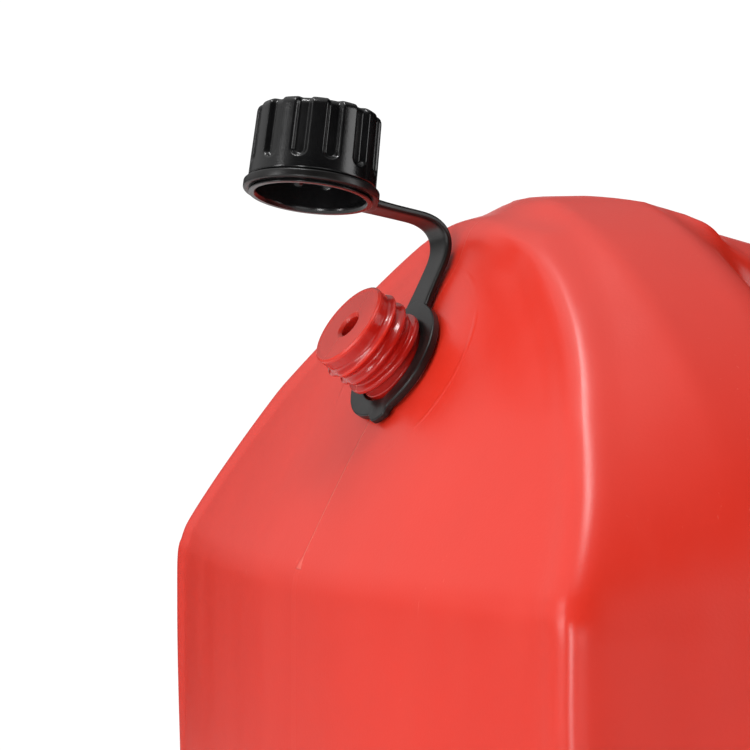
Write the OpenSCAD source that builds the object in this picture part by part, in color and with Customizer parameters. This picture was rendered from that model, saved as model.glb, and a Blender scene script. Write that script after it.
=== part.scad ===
// Blow-moulded fuel can: tank with rear vent slope, open vent cap on its tether, and a screw-on pour spout.
// Millimetres. +X is the spout end, -X the vent end, +Z up. The origin is on the floor, under the tank's middle.

/* [Tank] */
// Length of the tank, back wall to front wall
body_l = 272; // [262:1:300]
// Width of the tank
body_w = 188.5; // [178:0.5:200]
// Height at which the back wall turns into the vent slope
shoulder_z = 205; // [198:1:215]
// Height of the rear hump above that shoulder
hump_h = 75; // [72:0.5:79]
// Drop from the back shoulder to the height at which the front wall turns into the filler slope
front_drop = 19; // [14:1:25]
// Wall thickness
wall = 2.6; // [2:0.1:3.2]
// Plan radius of the bulged end walls
end_crown_r = 300; // [270:1:330]
// Bulge radius where an end panel reaches its top ridge
ridge_crown_r = 102; // [92:1:130]
// Sharpness of the edge between end panels and sides
edge_sharpness = 34; // [24:1:40]
// Corner radius of the base in side view
base_edge_r = 22; // [16:1:30]
// Depth of the recess under the base
base_recess = 2.4; // [1.5:0.1:4]
// Width of the foot rim left round that recess
foot_rim = 26; // [20:1:34]

/* [Vent panel and hump] */
// Lean of the vent panel from upright
panel_lean = 30.9; // [29:0.1:32.5]
// Height of the panel's top ridge above the shoulder
ridge_h = 68; // [65:0.5:69.5]
// Outward bow of the panel at its middle
panel_bow = 1.2; // [0.6:0.1:2]
// Height of the vent above the shoulder
vent_rise = 40.7; // [38:0.1:44]
// Distance of the hump's back edge from the back wall
hump_back_run = 52; // [50:0.5:56]
// Length of the hump's flat top
hump_flat = 16; // [12:0.5:20]
// Run of the hump's front fall down to the grip
hump_fall = 56; // [52:1:60]
// Length over which the hump's sides draw in to the grip
hump_draw_in = 13; // [10:1:18]

/* [Handle] */
// Length of the hand hole
hole_l = 98; // [90:1:104]
// Height of the hand hole
hole_h = 48; // [42:1:50]
// Forward offset of the hand hole from the tank's middle
hole_x = 11; // [6:1:14]
// Thickness of the grip
grip_t = 28; // [24:1:30]
// Width setting of the grip
grip_w = 37; // [32:1:42]
// Sharpness of the grip's edges
grip_softness = 5; // [4:0.5:7]
// Drop of the grip's top below the hump
grip_drop = 18; // [16:0.5:19.5]

/* [Filler neck] */
// Lean of the filler neck from upright
filler_tilt = 39; // [36:1:42]
// Length of the slope that carries the filler neck
filler_slope_l = 82; // [78:1:86]
// Outer radius of the filler neck
filler_r = 24; // [22:0.5:25]
// Wall of the filler neck
filler_wall = 3.4; // [2.5:0.1:4]
// Height of the filler neck above its slope
filler_h = 22; // [18:1:26]

/* [Vent neck] */
// Elevation of the vent neck's axis above level
vent_elev = 37.5; // [36:0.5:39]
// Mean radius of the vent neck's thread
vent_r = 9.1; // [8.5:0.1:9.6]
// Depth of the thread, crest to root
thread_depth = 1.3; // [0.8:0.1:1.6]
// Pitch of the thread
thread_pitch = 3.1; // [2.8:0.1:3.6]
// Height of the vent neck
vent_h = 14.4; // [13.5:0.1:15.5]
// Radius of the hole in the vent neck's end
vent_hole_r = 2.4; // [1.5:0.1:3]

/* [Vent cap] */
// Outer radius of the cap at its smooth band
cap_r = 12.9; // [12.5:0.1:14]
// Inner radius of the cap
cap_bore_r = 11; // [10.7:0.1:11.2]
// Height of the cap
cap_h = 17; // [15:0.5:20]
// Thickness of the cap's top
cap_top_t = 1.8; // [1.2:0.1:2.6]
// Number of grip grooves round the cap
cap_grooves = 12; // [10:1:14]
// Radius of a grip groove
cap_groove_r = 1.6; // [1.2:0.1:1.9]
// Depth of a grip groove
cap_groove_depth = 1.1; // [0.7:0.1:1.4]
// Height of the smooth band and rim below the grooves
cap_band_h = 6.2; // [5.6:0.1:7.5]
// Thickness of the sealing liner in the cap
liner_t = 1.2; // [0.8:0.1:1.8]

/* [Vent tether] */
// Turn of the tether round the neck, away from straight up the slope
tether_turn = 13; // [6:1:20]
// Angle by which the cap is swung off the neck
cap_open = 71.7; // [66:0.1:76]
// Thickness of the two rings
ring_t = 1.8; // [1.5:0.1:2.2]
// Radial width of the ring round the neck
neck_ring_w = 4.1; // [3.2:0.1:4.6]
// Radial width of the ring round the cap
cap_ring_w = 1.5; // [1.2:0.1:2]
// Width of the strap
strap_w = 5.6; // [4.5:0.1:7]
// Thickness of the strap
strap_t = 1.6; // [1.2:0.1:2]
// Distance from the neck's axis to the strap's bend
bend_reach = 22.5; // [21.5:0.1:24]
// Height of the strap's bend above the slope
bend_h = 9.6; // [9:0.1:11.5]
// Length of the pull tab on the neck ring
tab_l = 3.6; // [2.5:0.1:4.5]
// Width of the pull tab
tab_w = 5.6; // [4:0.1:7]
// Turn of the pull tab, away from opposite the strap
tab_turn = 14; // [0:1:30]

/* [Spout] */
// Length of the spout beyond the filler neck
spout_l = 168; // [130:1:200]
// Radius of the spout's foot inside the collar
spout_foot_r = 17; // [15:0.5:18]
// Radius of the spout's tube at its lower end
tube_r = 13; // [12:0.5:14.5]
// Radius of the spout's tip
tip_r = 9.6; // [8.5:0.1:10.5]
// Wall of the spout
spout_wall = 2.2; // [1.6:0.1:2.6]
// Thickness of the spout's flange
flange_t = 3; // [2:0.1:4]
// Thickness of the rubber gasket under the flange
gasket_t = 2; // [1.5:0.1:3]
// Wall of the screw collar
collar_wall = 4.4; // [3.6:0.1:5.4]
// Thickness of the collar's inward lip
collar_lip_t = 3.4; // [2.5:0.1:4.5]
// Number of grip ribs round the collar
collar_ribs = 24; // [16:1:30]
// Wall of the cap on the spout's tip
tip_cap_wall = 2; // [1.5:0.1:2.6]
// Length of the cap on the spout's tip
tip_cap_l = 30; // [24:1:36]

/* [Fits] */
// Clearance between pieces that turn or slide on each other
clearance = 0.3; // [0.25:0.05:0.45]

/* [Hidden] */
$fn = 64;
WALL_STEP = 19;
TOP_STEP = 8;
ARC_STEP = 13;
SECTION_HALF = 20;
INNER_HALF = 8;
THREAD_SIDES = 28;
STRAP_STATIONS = 16;
base_cut = 2;
front_round = 26;
filler_top_round = 14;
grip_front_round = 30;
grip_back_round = 60;
hump_front_round = 50;
hump_back_round = 20;
ridge_round = 11;
shoulder_round = 13;
grip_front_set_back = 8;
hump_front_lean = 0.25;
grip_rise_from = 12;
grip_rise_to = 18;
grip_fade_from = 130;
grip_fade_to = 190;
inner_lead = 5;
hump_top_z = shoulder_z + hump_h;
grip_top_z = hump_top_z - grip_drop;
hole_c = [hole_x, grip_top_z - grip_t - hole_h / 2];
back_x = -body_l / 2;
front_x = body_l / 2;
floor_t = wall + base_recess;
front_shoulder_z = shoulder_z - front_drop;
cap_gap = 0.2;
seat_lift = 0.3;

// Corners of the mid-plane outline, front foot first, each as [x, z, rounding radius]
ridge_x = back_x + ridge_h * tan(panel_lean);
ridge_z = shoulder_z + ridge_h;
panel_out = [-cos(panel_lean), sin(panel_lean)];
panel_half = ridge_h / cos(panel_lean) / 2;
panel_mid = [(back_x + ridge_x) / 2, shoulder_z + ridge_h / 2] + 2 * panel_bow * panel_out;
panel_r = 0.8 * panel_half * panel_half / (2 * panel_bow);
corner_foot_front = [front_x, -base_cut, base_edge_r];
corner_front = [front_x, front_shoulder_z, front_round];
corner_filler_top = [
    front_x - filler_slope_l * cos(filler_tilt),
    front_shoulder_z + filler_slope_l * sin(filler_tilt),
    filler_top_round
];
corner_grip_front = [hole_x + hole_l / 2 - grip_front_set_back, grip_top_z, grip_front_round];
corner_grip_back = [back_x + hump_back_run + hump_flat + hump_fall, grip_top_z, grip_back_round];
corner_hump_front = [back_x + hump_back_run + hump_flat, hump_top_z, hump_front_round];
corner_hump_back = [back_x + hump_back_run, hump_top_z, hump_back_round];
corner_ridge = [ridge_x, ridge_z, ridge_round];
corner_panel = [panel_mid[0], panel_mid[1], panel_r];
corner_shoulder = [back_x, shoulder_z, shoulder_round];
corner_foot_back = [back_x, -base_cut, base_edge_r];
CORNERS = [
    corner_foot_front, corner_front, corner_filler_top, corner_grip_front, corner_grip_back,
    corner_hump_front, corner_hump_back, corner_ridge, corner_panel, corner_shoulder, corner_foot_back
];

function flat(p) = [p[0], p[1]];
function unit(v) = v / norm(v);
function wrap(a) = a > 180 ? a - 360 : a < -180 ? a + 360 : a;
function turn_of(v) = atan2(v[1], v[0]);

// Fillet at corner b between neighbours a and c: its centre, tangent length and half angle
function half_angle(a, b, c) = acos(unit(flat(a) - flat(b)) * unit(flat(c) - flat(b))) / 2;
function tangent_l(a, b, c) = b[2] / tan(half_angle(a, b, c));
function fillet_c(a, b, c) =
    flat(b) + unit(unit(flat(a) - flat(b)) + unit(flat(c) - flat(b))) * b[2] / sin(half_angle(a, b, c));
function fillet_pts(a, b, c) =
    let (
        m = fillet_c(a, b, c),
        t = tangent_l(a, b, c),
        a0 = turn_of(flat(b) + unit(flat(a) - flat(b)) * t - m),
        sweep = wrap(turn_of(flat(b) + unit(flat(c) - flat(b)) * t - m) - a0),
        n = max(ceil(abs(sweep) / ARC_STEP), ceil(abs(sweep) * PI / 180 * b[2] / TOP_STEP))
    )
    [for (k = [0:n]) m + b[2] * [cos(a0 + sweep * k / n), sin(a0 + sweep * k / n)]];

// Points of a closed run of rounded corners, with long straights divided
function between(p, q) =
    let (n = ceil(norm(q - p) / (max(p[1], q[1]) > shoulder_z + 1 ? TOP_STEP : WALL_STEP)))
    n < 2 ? [] : [for (k = [1:n - 1]) p + (q - p) * k / n];
function rounded(corners) =
    let (
        n = len(corners),
        arcs = [for (i = [0:n - 1]) fillet_pts(corners[(i + n - 1) % n], corners[i], corners[(i + 1) % n])]
    )
    [for (i = [0:n - 1]) each concat(arcs[i], between(arcs[i][len(arcs[i]) - 1], arcs[(i + 1) % n][0]))];

OUTLINE = rounded(CORNERS);

// Angle of a point seen from the middle of the hand hole, 0 to 360
function bearing(p) = let (a = turn_of(flat(p) - hole_c)) a < 0 ? a + 360 : a;

// Radius of the hand hole's rounded edge along a bearing, grown by g
HOLE_SQUARENESS = 3.4;
function hole_radius(a, g) =
    pow(
        pow(abs(cos(a)) / (hole_l / 2 + g), HOLE_SQUARENESS) + pow(abs(sin(a)) / (hole_h / 2 + g), HOLE_SQUARENESS),
        -1 / HOLE_SQUARENESS
    );

// How much of a place belongs to the grip, 0 for the tank and 1 for the grip.
// At the back the hump's sides draw in along a leaning line, at the front the share follows the bearing.
function ease(t) = t * t * (3 - 2 * t);
function hump_front_x(z) = hole_c[0] - hole_l / 2 - hump_front_lean * (z - hole_c[1] - hole_h / 2);
function grip_reach(a, lead) =
    ease(lookup(a < 90 ? a + lead : a, [
        [bearing(corner_filler_top) - grip_rise_from, 0],
        [bearing(corner_grip_front) + grip_rise_to, 1],
        [grip_fade_from, 1],
        [grip_fade_to, 0]
    ]));
function grip_share(a, at, lead) =
    grip_reach(a, lead) * (a < 90 ? 1 : ease(max(0, min(1, (at[0] - hump_front_x(at[1]) + lead) / hump_draw_in + 1))));

// Bulge radius of the outside along a bearing, and of the wall round the hand hole
grip_round_r = grip_t * 0.55;
top_crown_r = 320;
base_crown_r = 900;
function crown_out(a) =
    lookup(a, [
        [bearing(corner_front) - 360, end_crown_r],
        [bearing(corner_filler_top), ridge_crown_r],
        [bearing(corner_grip_front), top_crown_r],
        [bearing(corner_hump_back), top_crown_r],
        [bearing(corner_ridge), ridge_crown_r],
        [bearing(corner_shoulder), end_crown_r],
        [bearing(corner_shoulder) + 20, base_crown_r],
        [bearing(corner_front) - 20, base_crown_r],
        [bearing(corner_front), end_crown_r],
        [bearing(corner_filler_top) + 360, ridge_crown_r]
    ]);
deck_crown_r = 420;
hole_wall_crown_r = 400;
grip_side_crown_r = 200;
hump_front_crown_r = 360;
function crown_in(a) =
    lookup(a, [
        [0, hole_wall_crown_r],
        [bearing(corner_filler_top), grip_side_crown_r],
        [bearing(corner_hump_front) + 6, hump_front_crown_r],
        [180, hole_wall_crown_r],
        [225, deck_crown_r],
        [315, deck_crown_r],
        [360, hole_wall_crown_r]
    ]);
function mix(a, b, t) = a * (1 - t) + b * t;

// Half width of the arched tank: an ellipse over the hump's fall line at the back, a lower one at the filler
spring_below = 4.4;
front_spring_below = 2;
front_arch_rise = 7;
arch_spring = shoulder_z - spring_below;
front_spring = front_shoulder_z - front_spring_below;
front_arch_top = corner_filler_top[1] + front_arch_rise;
ridge_slope = (hump_top_z - ridge_z) / (hump_back_run + back_x - ridge_x);
function arch_top(x) =
    lookup(x, [
        [back_x, ridge_z + ridge_slope * (back_x - ridge_x)],
        [ridge_x, ridge_z],
        [corner_hump_back[0], hump_top_z],
        [corner_hump_front[0], hump_top_z],
        [corner_grip_back[0], grip_top_z]
    ]);
ARCH_FULLNESS = 1.7;
DECK_SOFTNESS = 6;
function arch_share(z, spring, top) =
    pow(max(0.0001, 1 - pow(max(0, z - spring) / max(1, top - spring), ARCH_FULLNESS)), 1 / ARCH_FULLNESS);
function soft_most(a, b) = pow(pow(a, DECK_SOFTNESS) + pow(b, DECK_SOFTNESS), 1 / DECK_SOFTNESS);
function arch_w(at) =
    at[0] < hole_c[0] ? body_w / 2 * arch_share(at[1], arch_spring, arch_top(at[0]))
    : soft_most(body_w / 2 * arch_share(at[1], front_spring, front_arch_top), grip_w / 2);

// Bounds on the half width at a place: the arch or grip, the wall round the hand hole, the outside and the ends
function bulge(d, r) = sqrt(2 * r * max(0, d));
function bounds(a, at, d_out, d_in, inset) =
    let (
        g = grip_share(a, at, inner_lead * inset),
        end_gap = min(at[0] - back_x, front_x - at[0]) - inset
    )
    [
        max(0, mix(arch_w(at + [0, inset]), grip_w / 2, g) - inset),
        bulge(d_in, mix(crown_in(a), grip_round_r, g) - inset),
        bulge(d_out, mix(crown_out(a), grip_round_r, g) - inset),
        bulge(end_gap, end_crown_r - inset),
        mix(edge_sharpness, grip_softness, g)
    ];

// Half width: the least of those bounds, with the edges between them rounded
function half_w(b) =
    let (
        v = [for (k = [0:3]) b[k]],
        low = min(v)
    )
    low < 0.01 ? 0 : low * pow([for (x = v) pow(x / low, -b[4])] * [1, 1, 1, 1], -1 / b[4]);

// One section of the skin, from the hand hole out to the outline and back on the other side.
// Its points follow the edges: some lie on the hole's wall, some on the side and some on the outer wall.
FINE = 48;
LEAST_WALL = 4;
function fine_share(k) = (1 - cos(180 * k / FINE)) / 2;
function first_wide(v, k, step) =
    v[k] >= 0 || k + step < 0 || k + step > FINE ? k
    : v[k + step] >= 0 ? k + step * v[k] / (v[k] - v[k + step])
    : first_wide(v, k + step, step);
function gather(t) = 1 - pow(1 - t, EDGE_GATHER);
EDGE_GATHER = 1.5;
function share_at(j, half, q_in, q_out) =
    let (
        n_in = round(half * 0.3),
        n_out = round(half * 0.35),
        n_side = half - n_in - n_out
    )
    j <= n_in ? q_in * pow(gather(j / n_in), 2)
    : j >= half - n_out ? 1 - (1 - q_out) * pow(gather((half - j) / n_out), 2)
    : q_in + (q_out - q_in) * (1 - cos(180 * (j - n_in) / n_side)) / 2;
function skin_section(i, half, inset, least_z) =
    let (
        n = len(OUTLINE),
        p = OUTLINE[i],
        along = unit(OUTLINE[(i + 1) % n] - OUTLINE[(i + n - 1) % n]),
        out = unit(p - hole_c),
        a = bearing(p),
        r_out = norm(p - hole_c) - inset / max(0.4, along[1] * out[0] - along[0] * out[1]),
        r_in = hole_radius(a, inset),
        l = r_out - r_in,
        fine = [for (k = [0:FINE])
            let (q = fine_share(k)) bounds(a, hole_c + out * (r_in + l * q), l * (1 - q), l * q, inset)
        ],
        in_edge = first_wide([for (b = fine) b[1] - b[0]], 0, 1),
        out_edge = first_wide([for (b = fine) min(b[2], b[3]) - b[0]], FINE, -1),
        q_in = max(LEAST_WALL / l, min(0.45, fine_share(in_edge))),
        q_out = min(1 - LEAST_WALL / l, max(0.55, fine_share(out_edge))),
        side = [for (j = [0:half])
            let (q = share_at(j, half, q_in, q_out), at = hole_c + out * (r_in + l * q))
            [at[0], half_w(bounds(a, at, l * (1 - q), l * q, inset)), at[1]]
        ]
    )
    [for (j = [0:2 * half - 1])
        let (e = side[j <= half ? j : 2 * half - j])
        [e[0], j <= half ? e[1] : -e[1], max(least_z, e[2])]
    ];

module skin(half, inset, stride, least_z) {
    picks = [for (i = [0:stride:len(OUTLINE) - 1]) i];
    n = len(picks);
    m = 2 * half;
    points = [for (i = picks) each skin_section(i, half, inset, least_z)];
    faces = [for (i = [0:n - 1], j = [0:m - 1])
        let (
            a = i * m + j,
            b = i * m + (j + 1) % m,
            c = (i + 1) % n * m + (j + 1) % m,
            d = (i + 1) % n * m + j
        )
        each norm(points[a] - points[c]) < norm(points[b] - points[d]) ? [[a, b, c], [a, c, d]]
            : [[a, b, d], [b, c, d]]
    ];
    polyhedron(points = points, faces = faces, convexity = 6);
}

// Frames: the vent seat's (z square to the panel, x up the slope), the vent neck's, which leans off it, the
// tether's and open cap's, and the filler neck's
vent_share = vent_rise / ridge_h;
seat_elev = panel_lean + atan(2 * panel_bow * (2 * vent_share - 1) / panel_half);
neck_tilt = vent_elev - seat_elev;
cap_lift = vent_h * cos(neck_tilt) + cap_gap;
vent_at =
    [back_x, shoulder_z] + vent_share * [ridge_x - back_x, ridge_h]
    + (panel_bow * (1 - pow(2 * vent_share - 1, 2)) + seat_lift) * panel_out;
filler_at = (flat(corner_front) + flat(corner_filler_top)) / 2;
module at_seat() {
    translate([vent_at[0], 0, vent_at[1]])
        rotate([0, seat_elev - 90, 0])
            children();
}
module at_vent() {
    at_seat()
        rotate([0, neck_tilt, 0])
            children();
}
module at_tether() {
    at_seat()
        rotate([0, 0, tether_turn])
            children();
}
module at_open_cap() {
    at_tether()
        translate([bend_reach, 0, bend_h])
            rotate([0, cap_open, 0])
                translate([-bend_reach, 0, cap_lift - bend_h])
                    children();
}
module at_filler() {
    translate([filler_at[0], 0, filler_at[1]])
        rotate([0, filler_tilt, 0])
            children();
}

// Vent neck with its soft moulded thread: rings of points whose radius follows the helix
neck_seat_r = vent_r - thread_depth / 2;
ring_seat_h = ring_t + 2 * clearance + 0.3;
thread_low = ring_seat_h + (vent_r + thread_depth / 2) * sin(neck_tilt);
neck_root = 6;
thread_fade = 1.2;
module threaded_neck() {
    rise = thread_pitch / 7;
    thread_l = vent_h - thread_low;
    rows = ceil(thread_l / rise);
    heights = [for (k = [0:rows]) thread_low + thread_l * k / rows];
    points = concat(
        [for (s = [0:THREAD_SIDES - 1]) round_pt(neck_seat_r, s, -neck_root)],
        [for (z = heights, s = [0:THREAD_SIDES - 1]) round_pt(thread_radius(s, z), s, z)],
        [[0, 0, -neck_root], [0, 0, vent_h]]
    );
    n = rows + 2;
    low = n * THREAD_SIDES;
    faces = concat(
        [for (k = [0:n - 2], s = [0:THREAD_SIDES - 1])
            let (a = k * THREAD_SIDES + s, b = k * THREAD_SIDES + (s + 1) % THREAD_SIDES)
            each [[a, a + THREAD_SIDES, b + THREAD_SIDES], [a, b + THREAD_SIDES, b]]
        ],
        [for (s = [0:THREAD_SIDES - 1]) [low, s, (s + 1) % THREAD_SIDES]],
        [for (s = [0:THREAD_SIDES - 1])
            [low + 1, (n - 1) * THREAD_SIDES + (s + 1) % THREAD_SIDES, (n - 1) * THREAD_SIDES + s]
        ]
    );
    polyhedron(points = points, faces = faces, convexity = 4);
}
function round_pt(r, s, z) = [r * cos(360 * s / THREAD_SIDES), r * sin(360 * s / THREAD_SIDES), z];
function thread_radius(s, z) =
    let (
        fade = ease(min(1, (z - thread_low) / thread_fade, max(0, vent_h - z) / thread_fade)),
        wave = (1 - cos(360 * ((z - thread_low) / thread_pitch - s / THREAD_SIDES))) / 2
    )
    neck_seat_r + thread_depth * fade * wave;

// Rectangle with rounded corners, from true circles
module rounded_plate(l, w, r) {
    square([l - 2 * r, w], center = true);
    square([l, w - 2 * r], center = true);
    for (x = [-1, 1], y = [-1, 1])
        translate([x * (l / 2 - r), y * (w / 2 - r)])
            circle(r);
}

filler_bore_r = filler_r - filler_wall;
neck_wall = 2.4;
vent_bore_r = neck_seat_r - neck_wall;
vent_end_t = 2.6;
vent_seat_depth = 8;
vent_bore_depth = 14;
filler_root = 9;
filler_bore_depth = 16;
recess_corner_r = 24;
recess_side_margin = 20;
module can_body() {
    color("red")
        difference() {
            union() {
                skin(SECTION_HALF, 0, 1, -base_cut);
                at_vent()
                    threaded_neck();
                at_seat()
                    translate([0, 0, -vent_seat_depth])
                        cylinder(h = vent_seat_depth, r = neck_ring_out - seat_step);
                at_filler()
                    translate([0, 0, -filler_root])
                        cylinder(h = filler_h + filler_root, r = filler_r);
            }
            translate([-body_l, -body_w, -body_w])
                cube([2 * body_l, 2 * body_w, body_w]);
            translate([0, 0, -1])
                linear_extrude(base_recess + 1)
                    rounded_plate(
                        body_l - 2 * foot_rim - 2 * base_edge_r,
                        body_w - 2 * foot_rim - 2 * recess_side_margin,
                        recess_corner_r
                    );
            skin(INNER_HALF, wall, 3, floor_t);
            at_vent() {
                translate([0, 0, -vent_bore_depth])
                    cylinder(h = vent_h - vent_end_t + vent_bore_depth, r = vent_bore_r);
                cylinder(h = vent_h + 1, r = vent_hole_r);
            }
            at_filler()
                translate([0, 0, -filler_bore_depth])
                    cylinder(h = filler_h + filler_bore_depth + 1, r = filler_bore_r);
        }
}

// Flat ring from a true tube
module ring(r_in, r_out, h) {
    difference() {
        cylinder(h = h, r = r_out);
        translate([0, 0, -1])
            cylinder(h = h + 2, r = r_in);
    }
}

neck_ring_in = neck_seat_r + clearance + ring_seat_h * sin(neck_tilt);
neck_ring_out = neck_ring_in + neck_ring_w;
seat_step = 1.5;
tab_t = 0.7 * ring_t;
ring_lug = 1.2;
module vent_ring() {
    color("black")
        at_tether()
            translate([0, 0, clearance])
                difference() {
                    union() {
                        cylinder(h = ring_t, r = neck_ring_out);
                        translate([0, -strap_w / 2, 0])
                            cube([neck_ring_out + ring_lug, strap_w, ring_t]);
                        rotate([0, 0, 180 + tab_turn]) {
                            translate([0, -tab_w / 2, 0])
                                cube([neck_ring_out + tab_l - tab_w / 2, tab_w, tab_t]);
                            translate([neck_ring_out + tab_l - tab_w / 2, 0, 0])
                                cylinder(h = tab_t, r = tab_w / 2);
                        }
                    }
                    translate([0, 0, -1])
                        cylinder(h = ring_t + 2, r = neck_ring_in);
                }
}

// Strap: a flat band swept along one curve from the neck ring's lug to the open cap ring's lug
cap_ring_z = 0.7;
ring_groove_depth = 1;
cap_groove_bottom_r = cap_r - ring_groove_depth;
cap_ring_in = cap_groove_bottom_r + clearance;
cap_ring_out = cap_ring_in + cap_ring_w;
function swung(p) =
    [bend_reach, bend_h] + [
        (p[0] - bend_reach) * cos(cap_open) + (p[1] - bend_h) * sin(cap_open),
        (p[1] - bend_h) * cos(cap_open) - (p[0] - bend_reach) * sin(cap_open)
    ];
strap_handle = 21.5;
strap_a = [neck_ring_out + ring_lug, clearance + ring_t / 2];
strap_d = swung([cap_ring_out + ring_lug, cap_lift + cap_ring_z + ring_t / 2]);
strap_b = strap_a + strap_handle * [1, 0];
strap_c = strap_d + strap_handle * [cos(cap_open), -sin(cap_open)];
function strap_at(t) =
    pow(1 - t, 3) * strap_a + 3 * t * pow(1 - t, 2) * strap_b + 3 * t * t * (1 - t) * strap_c + pow(t, 3) * strap_d;
function strap_way(t) =
    unit(
        pow(1 - t, 2) * (strap_b - strap_a) + 2 * t * (1 - t) * (strap_c - strap_b) + t * t * (strap_d - strap_c)
    );
module vent_strap() {
    // half section as [across, through] shares, with eased edges
    edge = [[1, 0.5], [0.88, 1], [-0.88, 1], [-1, 0.5], [-1, -0.5], [-0.88, -1], [0.88, -1], [1, -0.5]];
    m = len(edge);
    n = STRAP_STATIONS;
    points = [for (k = [0:n])
        let (p = strap_at(k / n), w = strap_way(k / n))
        each [for (e = edge)
            [p[0] - w[1] * e[1] * strap_t / 2, e[0] * strap_w / 2, p[1] + w[0] * e[1] * strap_t / 2]
        ]
    ];
    faces = concat(
        [[for (j = [m - 1:-1:0]) j]],
        [[for (j = [0:m - 1]) n * m + j]],
        [for (k = [0:n - 1], j = [0:m - 1])
            let (a = k * m + j, b = k * m + (j + 1) % m)
            each [[a, b, b + m], [a, b + m, a + m]]
        ]
    );
    color("black")
        at_tether()
            polyhedron(points = points, faces = faces, convexity = 4);
}

module vent_cap_ring() {
    color("black")
        at_open_cap()
            translate([0, 0, cap_ring_z])
                difference() {
                    union() {
                        cylinder(h = ring_t, r = cap_ring_out);
                        translate([0, -strap_w / 2, 0])
                            cube([cap_ring_out + ring_lug, strap_w, ring_t]);
                    }
                    translate([0, 0, -1])
                        cylinder(h = ring_t + 2, r = cap_ring_in);
                }
}

// Cutter whose lower end is rounded in three steps
module round_ended_cutter(r, h) {
    rotate_extrude($fn = 24)
        polygon([[0, -r], [0.5 * r, -0.85 * r], [0.85 * r, -0.5 * r], [r, 0], [r, h], [0, h]]);
}

// Cap: turned profile with a retaining bead under the ring, cut by round-bottomed grip grooves
cap_bead_r = cap_ring_in + 0.35;
cap_top_r = cap_r - 0.4;
module vent_cap() {
    ring_top = cap_ring_z + ring_t + clearance;
    bead_top = cap_ring_z - clearance;
    color("black")
        at_open_cap()
            difference() {
                rotate_extrude()
                    polygon([
                        [cap_bore_r, 0],
                        [cap_bead_r - 0.2, 0],
                        [cap_bead_r, bead_top / 2],
                        [cap_groove_bottom_r, bead_top],
                        [cap_groove_bottom_r, ring_top],
                        [cap_r, ring_top],
                        [cap_top_r, cap_h - 1.2],
                        [cap_top_r - 0.4, cap_h - 0.4],
                        [cap_top_r - 1.3, cap_h],
                        [0, cap_h],
                        [0, cap_h - cap_top_t],
                        [cap_bore_r, cap_h - cap_top_t]
                    ]);
                for (k = [0:cap_grooves - 1])
                    rotate([0, 0, 360 * (k + 0.5) / cap_grooves])
                        translate([cap_r + cap_groove_r - cap_groove_depth, 0, cap_band_h + cap_groove_r])
                            round_ended_cutter(cap_groove_r, cap_h);
            }
}

module vent_cap_liner() {
    color("lightgray")
        at_open_cap()
            translate([0, 0, cap_h - cap_top_t - liner_t])
                cylinder(h = liner_t, r = cap_bore_r - 0.1);
}

// Spout parts stack up the filler neck's axis
gasket_z = filler_h;
flange_z = gasket_z + gasket_t;
foot_z = flange_z + flange_t;
tip_z = foot_z + spout_l;
tip_shoulder_z = tip_z + clearance + tip_cap_wall - tip_cap_l;
flange_r = filler_r - 1.2;
foot_l = 16;
cone_l = 26;
tube_end_r = tip_r + tip_cap_wall;
module spout_gasket() {
    color("dimgray")
        at_filler()
            translate([0, 0, gasket_z])
                ring(filler_bore_r - 1, flange_r, gasket_t);
}

module spout() {
    mouth_r = tip_r - spout_wall;
    color("black")
        at_filler()
            rotate_extrude()
                polygon([
                    [spout_foot_r - spout_wall, flange_z],
                    [flange_r, flange_z],
                    [flange_r, foot_z],
                    [spout_foot_r, foot_z],
                    [spout_foot_r, foot_z + foot_l],
                    [tube_r, foot_z + foot_l + cone_l],
                    [tube_end_r, tip_shoulder_z],
                    [tip_r, tip_shoulder_z],
                    [tip_r, tip_z - 1],
                    [tip_r - 1, tip_z],
                    [mouth_r, tip_z],
                    [mouth_r, tip_shoulder_z],
                    [tube_r - spout_wall, foot_z + foot_l + cone_l - 2],
                    [spout_foot_r - spout_wall, foot_z + foot_l - 2]
                ]);
}

collar_in = filler_r + clearance;
collar_out = collar_in + collar_wall;
module spout_collar() {
    collar_low = 3;
    collar_top = foot_z + collar_lip_t;
    rib_r = 1.2;
    rib_sink = 0.3;
    top_chamfer = 2.4;
    color("black")
        at_filler()
            difference() {
                union() {
                    rotate_extrude()
                        polygon([
                            [collar_in, collar_low],
                            [collar_out, collar_low],
                            [collar_out, collar_top - top_chamfer],
                            [collar_out - top_chamfer, collar_top],
                            [spout_foot_r + clearance, collar_top],
                            [spout_foot_r + clearance, foot_z],
                            [collar_in, foot_z]
                        ]);
                    for (k = [0:collar_ribs - 1])
                        rotate([0, 0, 360 * k / collar_ribs])
                            translate([collar_out - rib_sink, 0, collar_low])
                                cylinder(h = collar_top - collar_low - top_chamfer - 1, r = rib_r, $fn = 20);
                }
                translate([0, 0, collar_low - 1])
                    cylinder(h = 2, r1 = collar_in + 1.6, r2 = collar_in - 0.4);
            }
}

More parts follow.
